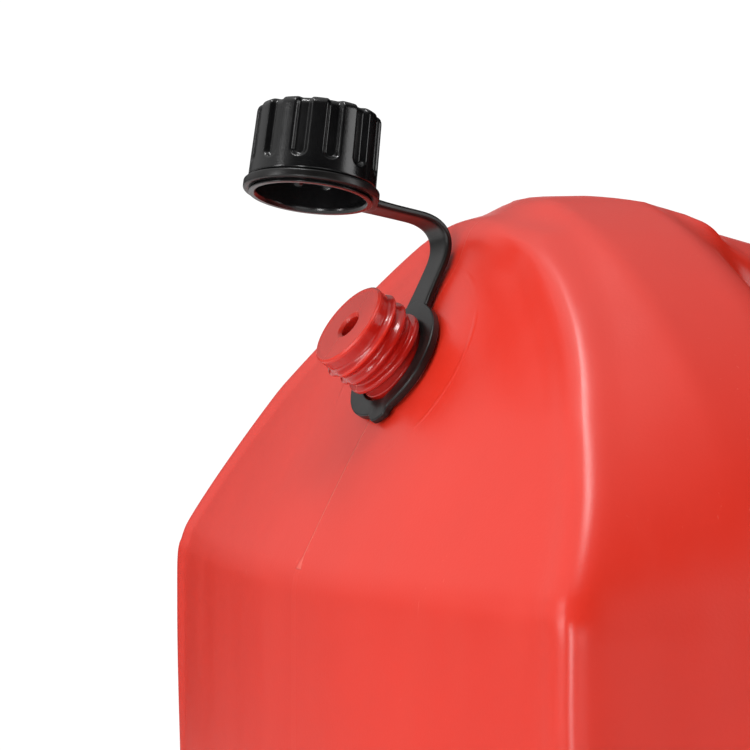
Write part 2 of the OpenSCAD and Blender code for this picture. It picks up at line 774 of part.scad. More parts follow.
module spout_tip_cap() {
    inner_r = tip_r + clearance;
    outer_r = tip_r + tip_cap_wall;
    skirt_w = 1.2;
    skirt_h = 3;
    grooves = 10;
    groove_r = 1.3;
    groove_set_out = 0.7;
    low = tip_shoulder_z + clearance;
    top = low - clearance + tip_cap_l;
    color("black")
        at_filler()
            difference() {
                rotate_extrude()
                    polygon([
                        [inner_r, low],
                        [outer_r + skirt_w, low],
                        [outer_r + skirt_w, low + skirt_h],
                        [outer_r, low + skirt_h + 0.6],
                        [outer_r - 0.3, top - 1.4],
                        [outer_r - 1.5, top],
                        [0, top],
                        [0, tip_z + clearance],
                        [inner_r, tip_z + clearance]
                    ]);
                for (k = [0:grooves - 1])
                    rotate([0, 0, 360 * k / grooves])
                        translate([outer_r + groove_set_out, 0, low + skirt_h + 2.5])
                            cylinder(h = tip_cap_l, r = groove_r, $fn = 20);
            }
}

can_body();
vent_ring();
vent_strap();
vent_cap_ring();
vent_cap();
vent_cap_liner();
spout_gasket();
spout();
spout_collar();
spout_tip_cap();
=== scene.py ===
"""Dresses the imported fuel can: moulded shell, vent cap on its tether, pour spout, floor, light and camera."""

import math

import bmesh
import bpy
import numpy as np
from bpy.props import FloatProperty, FloatVectorProperty, IntProperty, PointerProperty
from mathutils import Matrix, Vector


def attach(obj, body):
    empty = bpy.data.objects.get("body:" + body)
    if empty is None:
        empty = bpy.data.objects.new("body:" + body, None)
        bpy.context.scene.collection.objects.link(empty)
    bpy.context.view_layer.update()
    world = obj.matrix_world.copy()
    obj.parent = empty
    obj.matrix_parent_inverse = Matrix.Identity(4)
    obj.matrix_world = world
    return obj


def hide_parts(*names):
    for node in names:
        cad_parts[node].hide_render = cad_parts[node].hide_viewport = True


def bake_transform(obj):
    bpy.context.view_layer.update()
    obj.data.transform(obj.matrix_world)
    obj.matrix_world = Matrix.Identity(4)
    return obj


bl_info = {
    "name": "Fuel can",
    "version": (1, 0, 0),
    "blender": (4, 5, 0),
    "location": "View3D > Sidebar > Fuel can",
    "description": "Builds the visible pieces of a blow-moulded fuel can over its CAD frame",
    "category": "Object",
}

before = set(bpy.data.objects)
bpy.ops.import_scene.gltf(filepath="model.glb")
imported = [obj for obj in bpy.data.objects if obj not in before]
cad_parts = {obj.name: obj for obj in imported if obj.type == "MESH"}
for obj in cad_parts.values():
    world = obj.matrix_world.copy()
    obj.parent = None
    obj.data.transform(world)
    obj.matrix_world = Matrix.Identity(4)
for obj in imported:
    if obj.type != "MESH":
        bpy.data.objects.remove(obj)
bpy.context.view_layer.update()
MM = 0.001
FULL_TURN = 2 * math.pi

# Fits that several pieces share, in millimetres
SEAT_LIFT = 0.3  # vent seat above the panel
CAP_GAP = 0.2  # closed cap's rim above the neck's end
CLEARANCE = 0.3  # between pieces that move on each other
NECK_GAP = 0.3  # neck's bead above the neck ring
CAP_RING_Z = 0.7  # cap ring above the cap's rim
CAP_SEAT_IN = 1  # depth of the seat that the cap ring turns on
CAP_TOP_T = 1.8  # thickness of the cap's top
LUG = 1.2  # length of a ring's lug under the strap


def length(name, description, default):
    """A length property, in metres."""
    return FloatProperty(name=name, description=description, default=default, unit="LENGTH", precision=4)


def colour(name, description, default):
    """A linear colour property."""
    return FloatVectorProperty(
        name=name, description=description, default=default, size=3, min=0, max=1, subtype="COLOR"
    )


class TankSizes(bpy.types.PropertyGroup):
    """Sizes of the moulded tank, hump and grip."""

    body_l: length("Length", "Back wall to front wall", 0.272)
    body_w: length("Width", "Side to side", 0.1885)
    shoulder_z: length("Shoulder", "Height at which the back wall turns into the vent panel", 0.205)
    hump_h: length("Hump", "Height of the hump above the shoulder", 0.075)
    front_drop: length("Front drop", "Drop from the back shoulder to the foot of the filler slope", 0.019)
    end_crown_r: length("End crown", "Plan radius of the bulged end walls", 0.282)
    panel_crown_r: length("Panel crown", "Bulge radius at the middle of the vent panel", 0.235)
    ridge_crown_r: length("Ridge crown", "Bulge radius where an end panel reaches its ridge", 0.084)
    base_edge_r: length("Base edge", "Corner radius of the base in side view", 0.022)
    base_recess: length("Base recess", "Depth of the recess under the base", 0.0024)
    foot_rim: length("Foot rim", "Width of the rim left round that recess", 0.026)
    panel_bow: length("Panel bow", "Outward bow of the vent panel", 0.0012)
    ridge_h: length("Ridge height", "Height of the panel's top ridge above the shoulder", 0.068)
    hump_back_run: length("Hump back", "Distance of the hump's back edge from the back wall", 0.0535)
    hump_flat: length("Hump flat", "Length of the hump's flat top", 0.020)
    hump_fall: length("Hump fall", "Run of the hump's front fall", 0.057)
    crease_run: length("Crease run", "Run of that fall down to the crease where the grip begins", 0.0165)
    crease_drop: length("Crease drop", "Drop of that crease below the hump's top", 0.007)
    hump_draw_in: length("Draw-in", "Length over which the hump's sides draw in to the grip", 0.013)
    hole_l: length("Hole length", "Length of the hand hole", 0.098)
    hole_h: length("Hole height", "Height of the hand hole", 0.048)
    hole_x: length("Hole offset", "Forward offset of the hand hole", 0.011)
    grip_t: length("Grip thickness", "Thickness of the grip", 0.028)
    grip_w: length("Grip width", "Width setting of the grip", 0.037)
    grip_drop: length("Grip drop", "Drop of the grip's top below the hump", 0.018)
    filler_slope_l: length("Filler slope", "Length of the slope that carries the filler neck", 0.082)
    panel_lean: FloatProperty(
        name="Panel lean", description="Lean of the vent panel", default=math.radians(30.9), subtype="ANGLE"
    )
    filler_tilt: FloatProperty(
        name="Filler tilt", description="Lean of the filler neck", default=math.radians(39), subtype="ANGLE"
    )


class VentSizes(bpy.types.PropertyGroup):
    """Sizes of the vent neck, its cap and the tether."""

    rise: length("Vent rise", "Height of the vent above the shoulder", 0.0407)
    neck_r: length("Neck radius", "Mean radius of the vent thread", 0.0091)
    neck_h: length("Neck height", "Height of the vent neck", 0.0144)
    thread_depth: length("Thread depth", "Crest to root", 0.0013)
    thread_pitch: length("Thread pitch", "Rise of one thread turn", 0.0031)
    hole_r: length("Vent hole", "Radius of the hole in the neck's end", 0.0024)
    cap_r: length("Cap radius", "Radius of the cap's smooth band", 0.0129)
    cap_h: length("Cap height", "Height of the cap", 0.018)
    cap_bore_r: length("Cap bore", "Inner radius of the cap", 0.011)
    groove_w: length("Groove width", "Half width of a grip groove", 0.0019)
    groove_depth: length("Groove depth", "Depth of a grip groove", 0.0011)
    band_h: length("Band height", "Height of the smooth band below the grooves", 0.0050)
    ring_t: length("Ring thickness", "Thickness of the two tether rings", 0.0018)
    ring_w: length("Ring width", "Radial width of the ring round the neck", 0.0041)
    strap_w: length("Strap width", "Width of the strap", 0.0070)
    strap_t: length("Strap thickness", "Thickness of the strap", 0.0016)
    bend_reach: length("Bend reach", "Distance from the neck's axis to the strap's bend", 0.0225)
    bend_h: length("Bend height", "Height of the strap's bend above the panel", 0.0096)
    grooves: IntProperty(name="Grooves", description="Grip grooves round the cap", default=12, min=6)
    elev: FloatProperty(
        name="Vent elevation", description="Vent axis above level", default=math.radians(37.5), subtype="ANGLE"
    )
    turn: FloatProperty(
        name="Tether turn", description="Turn of the tether round the neck", default=math.radians(13), subtype="ANGLE"
    )
    cap_open: FloatProperty(
        name="Cap opening", description="Swing of the cap off the neck", default=math.radians(71.7), subtype="ANGLE"
    )


class SpoutSizes(bpy.types.PropertyGroup):
    """Sizes of the filler neck, spout, collar and tip cap."""

    filler_r: length("Filler radius", "Outer radius of the filler neck", 0.024)
    filler_wall: length("Filler wall", "Wall of the filler neck", 0.0034)
    filler_h: length("Filler height", "Height of the filler neck above its slope", 0.022)
    spout_l: length("Spout length", "Length of the spout beyond the filler neck", 0.168)
    foot_r: length("Foot radius", "Radius of the spout's foot", 0.017)
    tube_r: length("Tube radius", "Radius of the tube's lower end", 0.013)
    tip_r: length("Tip radius", "Radius of the tip", 0.0096)
    wall: length("Wall", "Wall of the spout", 0.0022)
    flange_t: length("Flange", "Thickness of the flange", 0.003)
    gasket_t: length("Gasket", "Thickness of the gasket", 0.002)
    collar_wall: length("Collar wall", "Wall of the screw collar", 0.0044)
    collar_lip: length("Collar lip", "Thickness of the collar's lip", 0.0034)
    cap_wall: length("Tip cap wall", "Wall of the tip cap", 0.002)
    cap_l: length("Tip cap length", "Length of the tip cap", 0.030)
    ribs: IntProperty(name="Collar ribs", description="Grip ribs round the collar", default=24, min=8)


class Finishes(bpy.types.PropertyGroup):
    """Colours of the moulded plastics and the stage."""

    can_red: colour("Can red", "Polyethylene of the shell", (0.68, 0.028, 0.013))
    strap_black: colour("Strap black", "Polyethylene of the tether", (0.0065, 0.006, 0.0058))
    cap_black: colour("Cap black", "Polypropylene of the caps and collar", (0.0045, 0.0045, 0.0048))
    spout_black: colour("Spout black", "Polyethylene of the spout", (0.011, 0.011, 0.012))
    seal_grey: colour("Seal grey", "Foamed sealing disc", (0.035, 0.035, 0.036))
    floor_pale: colour("Floor", "Plain floor", (0.90, 0.90, 0.90))


def sizes(group):
    """The group's values as a dict, lengths in millimetres and angles in radians."""
    values = {}
    for key in group.__annotations__:
        kind = group.bl_rna.properties[key]
        values[key] = getattr(group, key) * (1000 if kind.unit == "LENGTH" else 1)
    return values


def unit(v):
    return v / np.linalg.norm(v)


def ease(t):
    return t * t * (3 - 2 * t)


def smooth_step(v, low, high):
    return ease(np.clip((v - low) / (high - low), 0, 1))


def wrapped(angle):
    """The angle brought within half a turn of zero."""
    return (angle + math.pi) % FULL_TURN - math.pi


def around(sides):
    """Evenly spaced angles round a full turn."""
    return np.linspace(0, FULL_TURN, sides, endpoint=False)


# Heights and radii that several pieces share, and the frames of the two necks and the open cap, in millimetres


def front_z(tank):
    """Height at which the front wall turns into the filler slope."""
    return tank["shoulder_z"] - tank["front_drop"]


def neck_root(vent):
    """Radius of the vent neck between its thread turns."""
    return vent["neck_r"] - vent["thread_depth"] / 2


def ring_top(vent):
    """Height of the neck ring's top above the seat, with its clearances."""
    return vent["ring_t"] + CLEARANCE * 2


def turn_about(axis, angle):
    return Matrix.Rotation(angle, 4, axis)


def seat_elevation(tank, vent):
    """Elevation of the panel's outward direction at the vent, and the neck's lean off it."""
    half = tank["ridge_h"] / math.cos(tank["panel_lean"]) / 2
    share = vent["rise"] / tank["ridge_h"]
    seat = tank["panel_lean"] + math.atan(2 * tank["panel_bow"] * (2 * share - 1) / half)
    return seat, vent["elev"] - seat


def seat_frame(tank, vent):
    """Origin on the vent's seat, z square to the panel, x up the panel."""
    back = -tank["body_l"] / 2
    share = vent["rise"] / tank["ridge_h"]
    lean = tank["panel_lean"]
    lift = tank["panel_bow"] * (1 - (2 * share - 1) ** 2) + SEAT_LIFT
    at = Vector((back + vent["rise"] * math.tan(lean), 0, tank["shoulder_z"] + vent["rise"]))
    at += lift * Vector((-math.cos(lean), 0, math.sin(lean)))
    return Matrix.Translation(at) @ turn_about("Y", seat_elevation(tank, vent)[0] - math.pi / 2)


def vent_frame(tank, vent):
    """The seat's frame leaned to the vent neck's axis."""
    return seat_frame(tank, vent) @ turn_about("Y", seat_elevation(tank, vent)[1])


def tether_frame(tank, vent):
    return seat_frame(tank, vent) @ turn_about("Z", vent["turn"])


def cap_lift(tank, vent):
    """Height of the closed cap's rim above the seat."""
    return vent["neck_h"] * math.cos(seat_elevation(tank, vent)[1]) + CAP_GAP


def cap_frame(tank, vent):
    """Origin in the open cap's rim, z through its top."""
    pole = Matrix.Translation((vent["bend_reach"], 0, vent["bend_h"]))
    seat = Matrix.Translation((-vent["bend_reach"], 0, cap_lift(tank, vent) - vent["bend_h"]))
    return tether_frame(tank, vent) @ pole @ turn_about("Y", vent["cap_open"]) @ seat


def filler_frame(tank):
    """Origin on the filler slope, z along the filler neck."""
    tilt, run = tank["filler_tilt"], tank["filler_slope_l"] / 2
    at = Vector((tank["body_l"] / 2 - run * math.cos(tilt), 0, front_z(tank) + run * math.sin(tilt)))
    return Matrix.Translation(at) @ turn_about("Y", tilt)


# Mesh helpers: every mesh is made in millimetres in its own frame, then placed in metres

WELD, SLIVER = 1e-4, 1e-5
MOST_OF_SIDE = 0.49


def surface(rows, closed_rows=False, closed_columns=True):
    """(vertices, quads) of a grid of points shaped (rows, columns, 3)."""
    n, m = rows.shape[:2]
    i = np.arange(n if closed_rows else n - 1)[:, None]
    j = np.arange(m if closed_columns else m - 1)[None]
    quads = np.stack(np.broadcast_arrays(
        i * m + j, i * m + (j + 1) % m, (i + 1) % n * m + (j + 1) % m, (i + 1) % n * m + j
    ), -1)
    return rows.reshape(-1, 3), quads.reshape(-1, 4)


def solid(parts, place=Matrix.Identity(4)):
    """One mesh in metres from closed (vertices, faces) shells, welded, with its faces pointing outwards."""
    mesh = bpy.data.meshes.new("shell")
    whole = bmesh.new()
    for vertices, faces in parts:
        shell = bmesh.new()
        points = [shell.verts.new(p) for p in np.asarray(vertices, float).tolist()]
        for face in faces:
            shell.faces.new([points[k] for k in face])
        bmesh.ops.remove_doubles(shell, verts=shell.verts, dist=WELD)
        bmesh.ops.dissolve_degenerate(shell, edges=shell.edges, dist=SLIVER)
        bmesh.ops.recalc_face_normals(shell, faces=shell.faces)
        piece = bpy.data.meshes.new("piece")
        shell.to_mesh(piece)
        shell.free()
        whole.from_mesh(piece)
        bpy.data.meshes.remove(piece)
    whole.to_mesh(mesh)
    whole.free()
    mesh.transform(Matrix.Scale(MM, 4) @ place)
    mesh.update()
    mesh.shade_smooth()
    return mesh


def corner_arc(before, corner, after, rounding, most=math.inf):
    """Middle, radius, first angle and sweep of a corner's rounding, which takes at most a share of each side."""
    ua, uc = unit(before - corner), unit(after - corner)
    half = math.acos(np.clip(ua @ uc, -1, 1)) / 2
    sides = (np.linalg.norm(before - corner), np.linalg.norm(after - corner))
    reach = min(rounding / math.tan(half), most * sides[0], most * sides[1])
    radius = reach * math.tan(half)
    middle = corner + unit(ua + uc) * radius / math.sin(half)
    start, end = corner + ua * reach - middle, corner + uc * reach - middle
    first = math.atan2(start[1], start[0])
    return middle, radius, first, wrapped(math.atan2(end[1], end[0]) - first)


def arc_points(middle, radius, first, sweep, steps):
    """Points along an arc, both ends included."""
    angles = [first + sweep * k / steps for k in range(steps + 1)]
    return [middle + radius * np.array((math.cos(a), math.sin(a))) for a in angles]


def rounded_profile(corners, closed=True, steps=6):
    """Points of a run of (r, z, rounding) corners with their roundings drawn as arcs."""
    n = len(corners)
    points = []
    for k, (r, z, rounding) in enumerate(corners):
        b = np.array((r, z), float)
        if rounding <= 0 or (not closed and k in (0, n - 1)):
            points.append(b)
            continue
        a, c = (np.array(corners[(k + d) % n][:2], float) for d in (-1, 1))
        points += arc_points(*corner_arc(a, b, c, rounding, MOST_OF_SIDE), steps)
    return np.array(points)


def turned(profile, sides=128, closed=True, wave=None):
    """A turned shell from an (r, z) profile; wave(angles, r, z) may move its radii."""
    angle = around(sides)
    r = np.repeat(profile[:, :1], sides, 1)
    z = np.repeat(profile[:, 1:], sides, 1)
    if wave is not None:
        r = wave(angle[None], r, z)
    rows = np.stack([r * np.cos(angle), r * np.sin(angle), z], -1)
    return surface(rows, closed_rows=closed)


def finer(profile, step, closed=True):
    """The same profile with its long runs divided."""
    points = []
    n = len(profile)
    for k in range(n if closed else n - 1):
        a, b = profile[k], profile[(k + 1) % n]
        parts = max(1, math.ceil(np.linalg.norm(b - a) / step))
        points += [a + (b - a) * t / parts for t in range(parts)]
    if not closed:
        points.append(profile[-1])
    return np.array(points)


def piece(name, mesh, material, slot, body, *nodes):
    """A named object that wears a material, stands for CAD nodes and rides on a body."""
    made = bpy.data.objects.new(name, mesh)
    bpy.context.scene.collection.objects.link(made)
    mesh.name = name
    mesh.materials.clear()
    mesh.materials.append(material)
    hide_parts(*nodes)
    if body:
        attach(made, body)
    return made


# Geometry node trees


def new_tree(name, inputs):
    """An empty geometry tree with named inputs, its input node and a linker to its output."""
    tree = bpy.data.node_groups.new(name, "GeometryNodeTree")
    tree.interface.new_socket("Geometry", in_out="OUTPUT", socket_type="NodeSocketGeometry")
    for label, kind in inputs:
        tree.interface.new_socket(label, in_out="INPUT", socket_type=f"NodeSocket{kind}")
    start = tree.nodes.new("NodeGroupInput")
    end = tree.nodes.new("NodeGroupOutput")

    def close(geometry):
        real = tree.nodes.new("GeometryNodeRealizeInstances")
        dress = tree.nodes.new("GeometryNodeSetMaterial")
        tree.links.new(geometry, real.inputs["Geometry"])
        tree.links.new(real.outputs["Geometry"], dress.inputs["Geometry"])
        tree.links.new(start.outputs["Material"], dress.inputs["Material"])
        tree.links.new(dress.outputs["Geometry"], end.inputs["Geometry"])

    return tree, start, close


def grown(tree, values):
    """The plain mesh that a tree makes from the given input values."""
    holder = bpy.data.objects.new("holder", bpy.data.meshes.new("holder"))
    bpy.context.scene.collection.objects.link(holder)
    modifier = holder.modifiers.new("grow", "NODES")
    modifier.node_group = tree
    for item in tree.interface.items_tree:
        if item.item_type == "SOCKET" and item.in_out == "INPUT":
            modifier[item.identifier] = values[item.name]
    bpy.context.view_layer.update()
    graph = bpy.context.evaluated_depsgraph_get()
    mesh = bpy.data.meshes.new_from_object(holder.evaluated_get(graph))
    holder.modifiers.remove(modifier)
    old = holder.data
    bpy.data.objects.remove(holder)
    bpy.data.meshes.remove(old)
    return mesh


def math_node(tree, operation, *values):
    """Output of a math node whose inputs are numbers or sockets."""
    node = tree.nodes.new("ShaderNodeMath")
    node.operation = operation
    for socket, value in zip(node.inputs, values):
        if isinstance(value, (int, float)):
            socket.default_value = value
        else:
            tree.links.new(value, socket)
    return node.outputs[0]


def range_node(tree, value, low, high, to_low=0.0, to_high=1.0):
    """A value carried smoothly from one range to another."""
    node = tree.nodes.new("ShaderNodeMapRange")
    node.interpolation_type = "SMOOTHSTEP"
    for label, number in (("From Min", low), ("From Max", high), ("To Min", to_low), ("To Max", to_high)):
        node.inputs[label].default_value = number
    tree.links.new(value, node.inputs["Value"])
    return node.outputs["Result"]


def round_bar(tree, curve, radius, sides):
    """Curve to Mesh node of a round bar along a curve."""
    ring = tree.nodes.new("GeometryNodeCurvePrimitiveCircle")
    ring.inputs["Resolution"].default_value = sides
    tree.links.new(radius, ring.inputs["Radius"])
    bar = tree.nodes.new("GeometryNodeCurveToMesh")
    bar.inputs["Fill Caps"].default_value = True
    tree.links.new(curve, bar.inputs["Curve"])
    tree.links.new(ring.outputs["Curve"], bar.inputs["Profile Curve"])
    return bar


RIB_STEPS, RIB_SIDES, RIB_END_POWER, RIB_END_SHARE = 15, 16, 9, 0.25
THREAD_STEPS, THREAD_SIDES = 64, 12


def grip_rib_tree():
    """Upright round ribs, thinned at both ends, set round a circle."""
    tree, start, close = new_tree("Grip ribs", [
        ("Count", "Int"), ("Radius", "Float"), ("Rib Radius", "Float"), ("Low", "Float"), ("High", "Float"),
        ("Material", "Material"),
    ])
    n, link = tree.nodes.new, tree.links.new
    line = n("GeometryNodeCurvePrimitiveLine")
    low, high = n("ShaderNodeCombineXYZ"), n("ShaderNodeCombineXYZ")
    link(start.outputs["Low"], low.inputs["Z"])
    link(start.outputs["High"], high.inputs["Z"])
    link(low.outputs[0], line.inputs["Start"])
    link(high.outputs[0], line.inputs["End"])
    resample = n("GeometryNodeResampleCurve")
    resample.inputs["Count"].default_value = RIB_STEPS
    link(line.outputs["Curve"], resample.inputs["Curve"])
    along = n("GeometryNodeSplineParameter").outputs["Factor"]
    off_middle = math_node(tree, "ABSOLUTE", math_node(tree, "MULTIPLY_ADD", along, 2, -1))
    left = math_node(tree, "SUBTRACT", 1.0, math_node(tree, "POWER", off_middle, RIB_END_POWER))
    radius = n("GeometryNodeSetCurveRadius")
    link(resample.outputs["Curve"], radius.inputs["Curve"])
    link(math_node(tree, "MAXIMUM", math_node(tree, "SQRT", left), RIB_END_SHARE), radius.inputs["Radius"])
    bar = round_bar(tree, radius.outputs["Curve"], start.outputs["Rib Radius"], RIB_SIDES)
    link(n("GeometryNodeInputRadius").outputs[0], bar.inputs["Scale"])
    places = n("GeometryNodeMeshCircle")
    link(start.outputs["Count"], places.inputs["Vertices"])
    link(start.outputs["Radius"], places.inputs["Radius"])
    bars = n("GeometryNodeInstanceOnPoints")
    link(places.outputs["Mesh"], bars.inputs["Points"])
    link(bar.outputs["Mesh"], bars.inputs["Instance"])
    close(bars.outputs["Instances"])
    return tree


def thread_tree():
    """A round ridge that winds up a cylinder."""
    tree, start, close = new_tree("Thread ridge", [
        ("Radius", "Float"), ("Turns", "Float"), ("Rise", "Float"), ("Ridge Radius", "Float"),
        ("Material", "Material"),
    ])
    n, link = tree.nodes.new, tree.links.new
    helix = n("GeometryNodeCurveSpiral")
    helix.inputs["Resolution"].default_value = THREAD_STEPS
    link(start.outputs["Turns"], helix.inputs["Rotations"])
    link(start.outputs["Radius"], helix.inputs["Start Radius"])
    link(start.outputs["Radius"], helix.inputs["End Radius"])
    link(start.outputs["Rise"], helix.inputs["Height"])
    ridge = round_bar(tree, helix.outputs["Curve"], start.outputs["Ridge Radius"], THREAD_SIDES)
    close(ridge.outputs["Mesh"])
    return tree


def shells(mesh):
    """(vertices, faces) of a grown mesh."""
    points = np.empty(len(mesh.vertices) * 3)
    mesh.vertices.foreach_get("co", points)
    faces = [tuple(p.vertices) for p in mesh.polygons]
    return points.reshape(-1, 3), faces


def joined(first, second):
    """Two meshes as one."""
    both = bmesh.new()
    both.from_mesh(first)
    both.from_mesh(second)
    both.to_mesh(first)
    both.free()
    bpy.data.meshes.remove(second)
    first.shade_smooth()
    return first


# Materials

# Lengths in metres, as the materials use them
SEAM_END = 0.2064  # height at which the parting line's wide foot ends
SEAM_FADE = (0.240, 0.252)  # heights between which the parting line fades
WITNESS_R = 0.0228  # line left by the vent's mould insert
NECK_REACH = (0.0098, 0.0104)  # radius at which the painted shade on the vent neck's side ends
NECK_FOOT_FADE, NECK_END_FADE = (-0.001, 0.0005), (0.0130, 0.0142)
LINE_RED, RUB_RED = (0.86, 0.20, 0.15), (0.86, 0.22, 0.17)
DUST_GREY, SCUFF_GREY = (0.16, 0.155, 0.15), (0.12, 0.12, 0.12)
PLASTIC_IOR = 1.5


class Nodes:
    """Short hand for building one material's nodes."""

    def __init__(self, name):
        self.material = bpy.data.materials.new(name)
        self.material.use_nodes = True
        self.tree = self.material.node_tree
        self.shader = self.tree.nodes["Principled BSDF"]
        self.place = self.tree.nodes.new("ShaderNodeTexCoord").outputs["Object"]

    def add(self, kind, **values):
        node = self.tree.nodes.new(kind)
        for key, value in values.items():
            setattr(node, key, value)
        return node

    def link(self, a, b):
        self.tree.links.new(a, b)

    def mapped(self, scale=(1, 1, 1), turn=(0, 0, 0), at=(0, 0, 0), kind="POINT"):
        node = self.add("ShaderNodeMapping", vector_type=kind)
        node.inputs["Scale"].default_value = scale
        node.inputs["Rotation"].default_value = turn
        node.inputs["Location"].default_value = at
        self.link(self.place, node.inputs["Vector"])
        return node.outputs["Vector"]

    def noise(self, scale, detail=3.0, rough=0.55, vector=None):
        node = self.add("ShaderNodeTexNoise")
        node.inputs["Scale"].default_value = scale
        node.inputs["Detail"].default_value = detail
        node.inputs["Roughness"].default_value = rough
        self.link(self.place if vector is None else vector, node.inputs["Vector"])
        return node.outputs["Fac"]

    def math(self, operation, *values):
        return math_node(self.tree, operation, *values)

    def span(self, value, *limits):
        return range_node(self.tree, value, *limits)

    def blend(self, share, a, b):
        node = self.add("ShaderNodeMix", data_type="RGBA")
        self.link(share, node.inputs["Factor"])
        for socket, tone in ((node.inputs[6], a), (node.inputs[7], b)):
            if isinstance(tone, tuple):
                socket.default_value = (*tone, 1)
            else:
                self.link(tone, socket)
        return node.outputs[2]

    def bump(self, height, distance, strength=1.0, under=None):
        node = self.add("ShaderNodeBump")
        node.inputs["Distance"].default_value = distance
        node.inputs["Strength"].default_value = strength
        self.link(height, node.inputs["Height"])
        if under is not None:
            self.link(under, node.inputs["Normal"])
        return node.outputs["Normal"]

    def finish(self, colour=None, rough=None, normal=None, **values):
        for label, source in (("Base Color", colour), ("Roughness", rough), ("Normal", normal)):
            if source is not None:
                self.link(source, self.shader.inputs[label])
        for label, value in values.items():
            self.shader.inputs[label.replace("_", " ")].default_value = value
        return self.material


def shade(c, by):
    """The colour made lighter or darker."""
    return tuple(min(1.0, v * by) for v in c)


def tinted(c, by):
    """The colour with each part scaled on its own."""
    return tuple(v * k for v, k in zip(c, by))


def can_material(red, vent):
    """Satin polyethylene: mould grain, soft waviness, a parting line, the vent insert's witness line, rubs, and
    painted shade that darkens the vent neck's side.
    """
    m = Nodes("can_polyethylene")
    red = tuple(red)
    split = m.add("ShaderNodeSeparateXYZ")
    m.link(m.place, split.inputs[0])
    height = split.outputs["Z"]
    seam_w = m.span(height, SEAM_END, SEAM_END + 0.0030, 0.0011, 0.00022)
    inside = m.math("SUBTRACT", seam_w, m.math("ABSOLUTE", split.outputs["Y"]))
    upper = m.span(height, SEAM_END, SEAM_END + 0.0002, 0.06, 1.0)
    seam = m.math("MULTIPLY", m.span(inside, -0.00012, 0.00008), upper)
    seam = m.math("MULTIPLY", seam, m.span(height, *SEAM_FADE, 1.0, 0.2))
    local = m.add("ShaderNodeSeparateXYZ")
    at, turn, _ = vent.decompose()
    m.link(m.mapped(at=at * MM, turn=turn.to_euler(), kind="TEXTURE"), local.inputs[0])
    across, up, along = (local.outputs[axis] for axis in "XYZ")
    reach = m.math("SQRT", m.math("ADD", m.math("MULTIPLY", across, across), m.math("MULTIPLY", up, up)))
    on_panel = m.span(along, -0.007, -0.005)
    ring = m.span(m.math("ABSOLUTE", m.math("SUBTRACT", reach, WITNESS_R)), 0.0001, 0.0008, 1.0, 0.0)
    broken = m.span(m.noise(55, 2.0), 0.42, 0.66)
    witness = m.math("MULTIPLY", m.math("MULTIPLY", ring, on_panel), broken)
    grain = m.noise(1500, 2.0)
    wave = m.noise(38, 2.0, 0.45)
    flow = m.noise(1.0, 3.0, 0.5, m.mapped((90, 90, 14)))
    rub_a = m.span(m.noise(1.0, 2.0, 0.6, m.mapped((900, 900, 26), (0.5, 0.35, 0.2))), 0.69, 0.76)
    rub_b = m.span(m.noise(1.0, 2.0, 0.6, m.mapped((26, 820, 900), (0.1, -0.6, 0.4))), 0.70, 0.77)
    patch = m.span(m.noise(24, 2.0), 0.50, 0.66)
    rubs = m.math("MULTIPLY", m.math("MAXIMUM", rub_a, rub_b), patch)
    tone = m.blend(m.span(m.noise(17, 3.0), 0.3, 0.7), shade(red, 0.96), shade(red, 1.03))
    streaked = m.blend(m.math("MULTIPLY", m.span(flow, 0.5, 0.75), 0.2), tone, tinted(red, (1.02, 1.4, 1.5)))
    # mask of the vent neck's side: it drives the painted shade below and a glossier finish
    neck_shade_and_gloss = m.math("MULTIPLY", m.span(reach, *NECK_REACH, 1.0, 0.0), m.span(along, *NECK_FOOT_FADE))
    neck_shade_and_gloss = m.math("MULTIPLY", neck_shade_and_gloss, m.span(along, *NECK_END_FADE, 1.0, 0.0))
    # painted shade: the vent neck's side is darkened to a deeper red in place of the shade that falls on it
    deep = m.blend(m.math("MULTIPLY", neck_shade_and_gloss, 0.8), streaked, tinted(red, (0.6, 0.3, 0.5)))
    lined = m.blend(m.math("MULTIPLY", seam, 0.35), deep, LINE_RED)
    worn = m.blend(m.math("MULTIPLY", rubs, 0.25), lined, RUB_RED)
    rough = m.math("ADD", m.span(flow, 0.2, 0.8, 0.31, 0.37), m.math("MULTIPLY", rubs, 0.1))
    rough = m.math("MULTIPLY_ADD", neck_shade_and_gloss, -0.14, rough)
    normal = m.bump(wave, 0.0016, 0.14)
    normal = m.bump(grain, 0.00006, 0.35, normal)
    normal = m.bump(m.math("ADD", seam, m.math("MULTIPLY", witness, 0.5)), 0.00026, 0.7, normal)
    normal = m.bump(rubs, 0.00003, 0.5, normal)
    return m.finish(
        worn, rough, normal, Specular_IOR_Level=0.5, IOR=PLASTIC_IOR, Subsurface_Weight=0.06,
        Subsurface_Radius=(1.0, 0.16, 0.1), Subsurface_Scale=0.004
    )


def black_material(name, black, rough_low, rough_high, dust, grain_scale=1800, gloss=0.5):
    """Moulded black plastic: fine grain, handling haze and a little dust that greys the surface."""
    m = Nodes(name)
    black = tuple(black)
    haze = m.noise(95, 4.0, 0.6)
    speck = m.span(m.noise(2600, 1.0), 0.66, 0.74)
    cloud = m.span(m.noise(210, 3.0), 0.42, 0.72)
    scuff = m.span(m.noise(1.0, 2.0, 0.6, m.mapped((2600, 2600, 120), (0.3, 0.2, 0.1))), 0.66, 0.75)
    tone = m.blend(m.span(haze, 0.3, 0.7), shade(black, 0.8), shade(black, 1.3))
    specks = m.math("ADD", m.math("MULTIPLY", cloud, 0.5), speck)
    dusty = m.blend(m.math("MULTIPLY", specks, dust), tone, DUST_GREY)
    worn = m.blend(m.math("MULTIPLY", scuff, dust), dusty, SCUFF_GREY)
    rough = m.span(haze, 0.25, 0.75, rough_low, rough_high)
    normal = m.bump(m.noise(grain_scale, 2.0), 0.00004, 0.3)
    normal = m.bump(haze, 0.0002, 0.15, normal)
    return m.finish(worn, rough, normal, Specular_IOR_Level=gloss, IOR=PLASTIC_IOR)


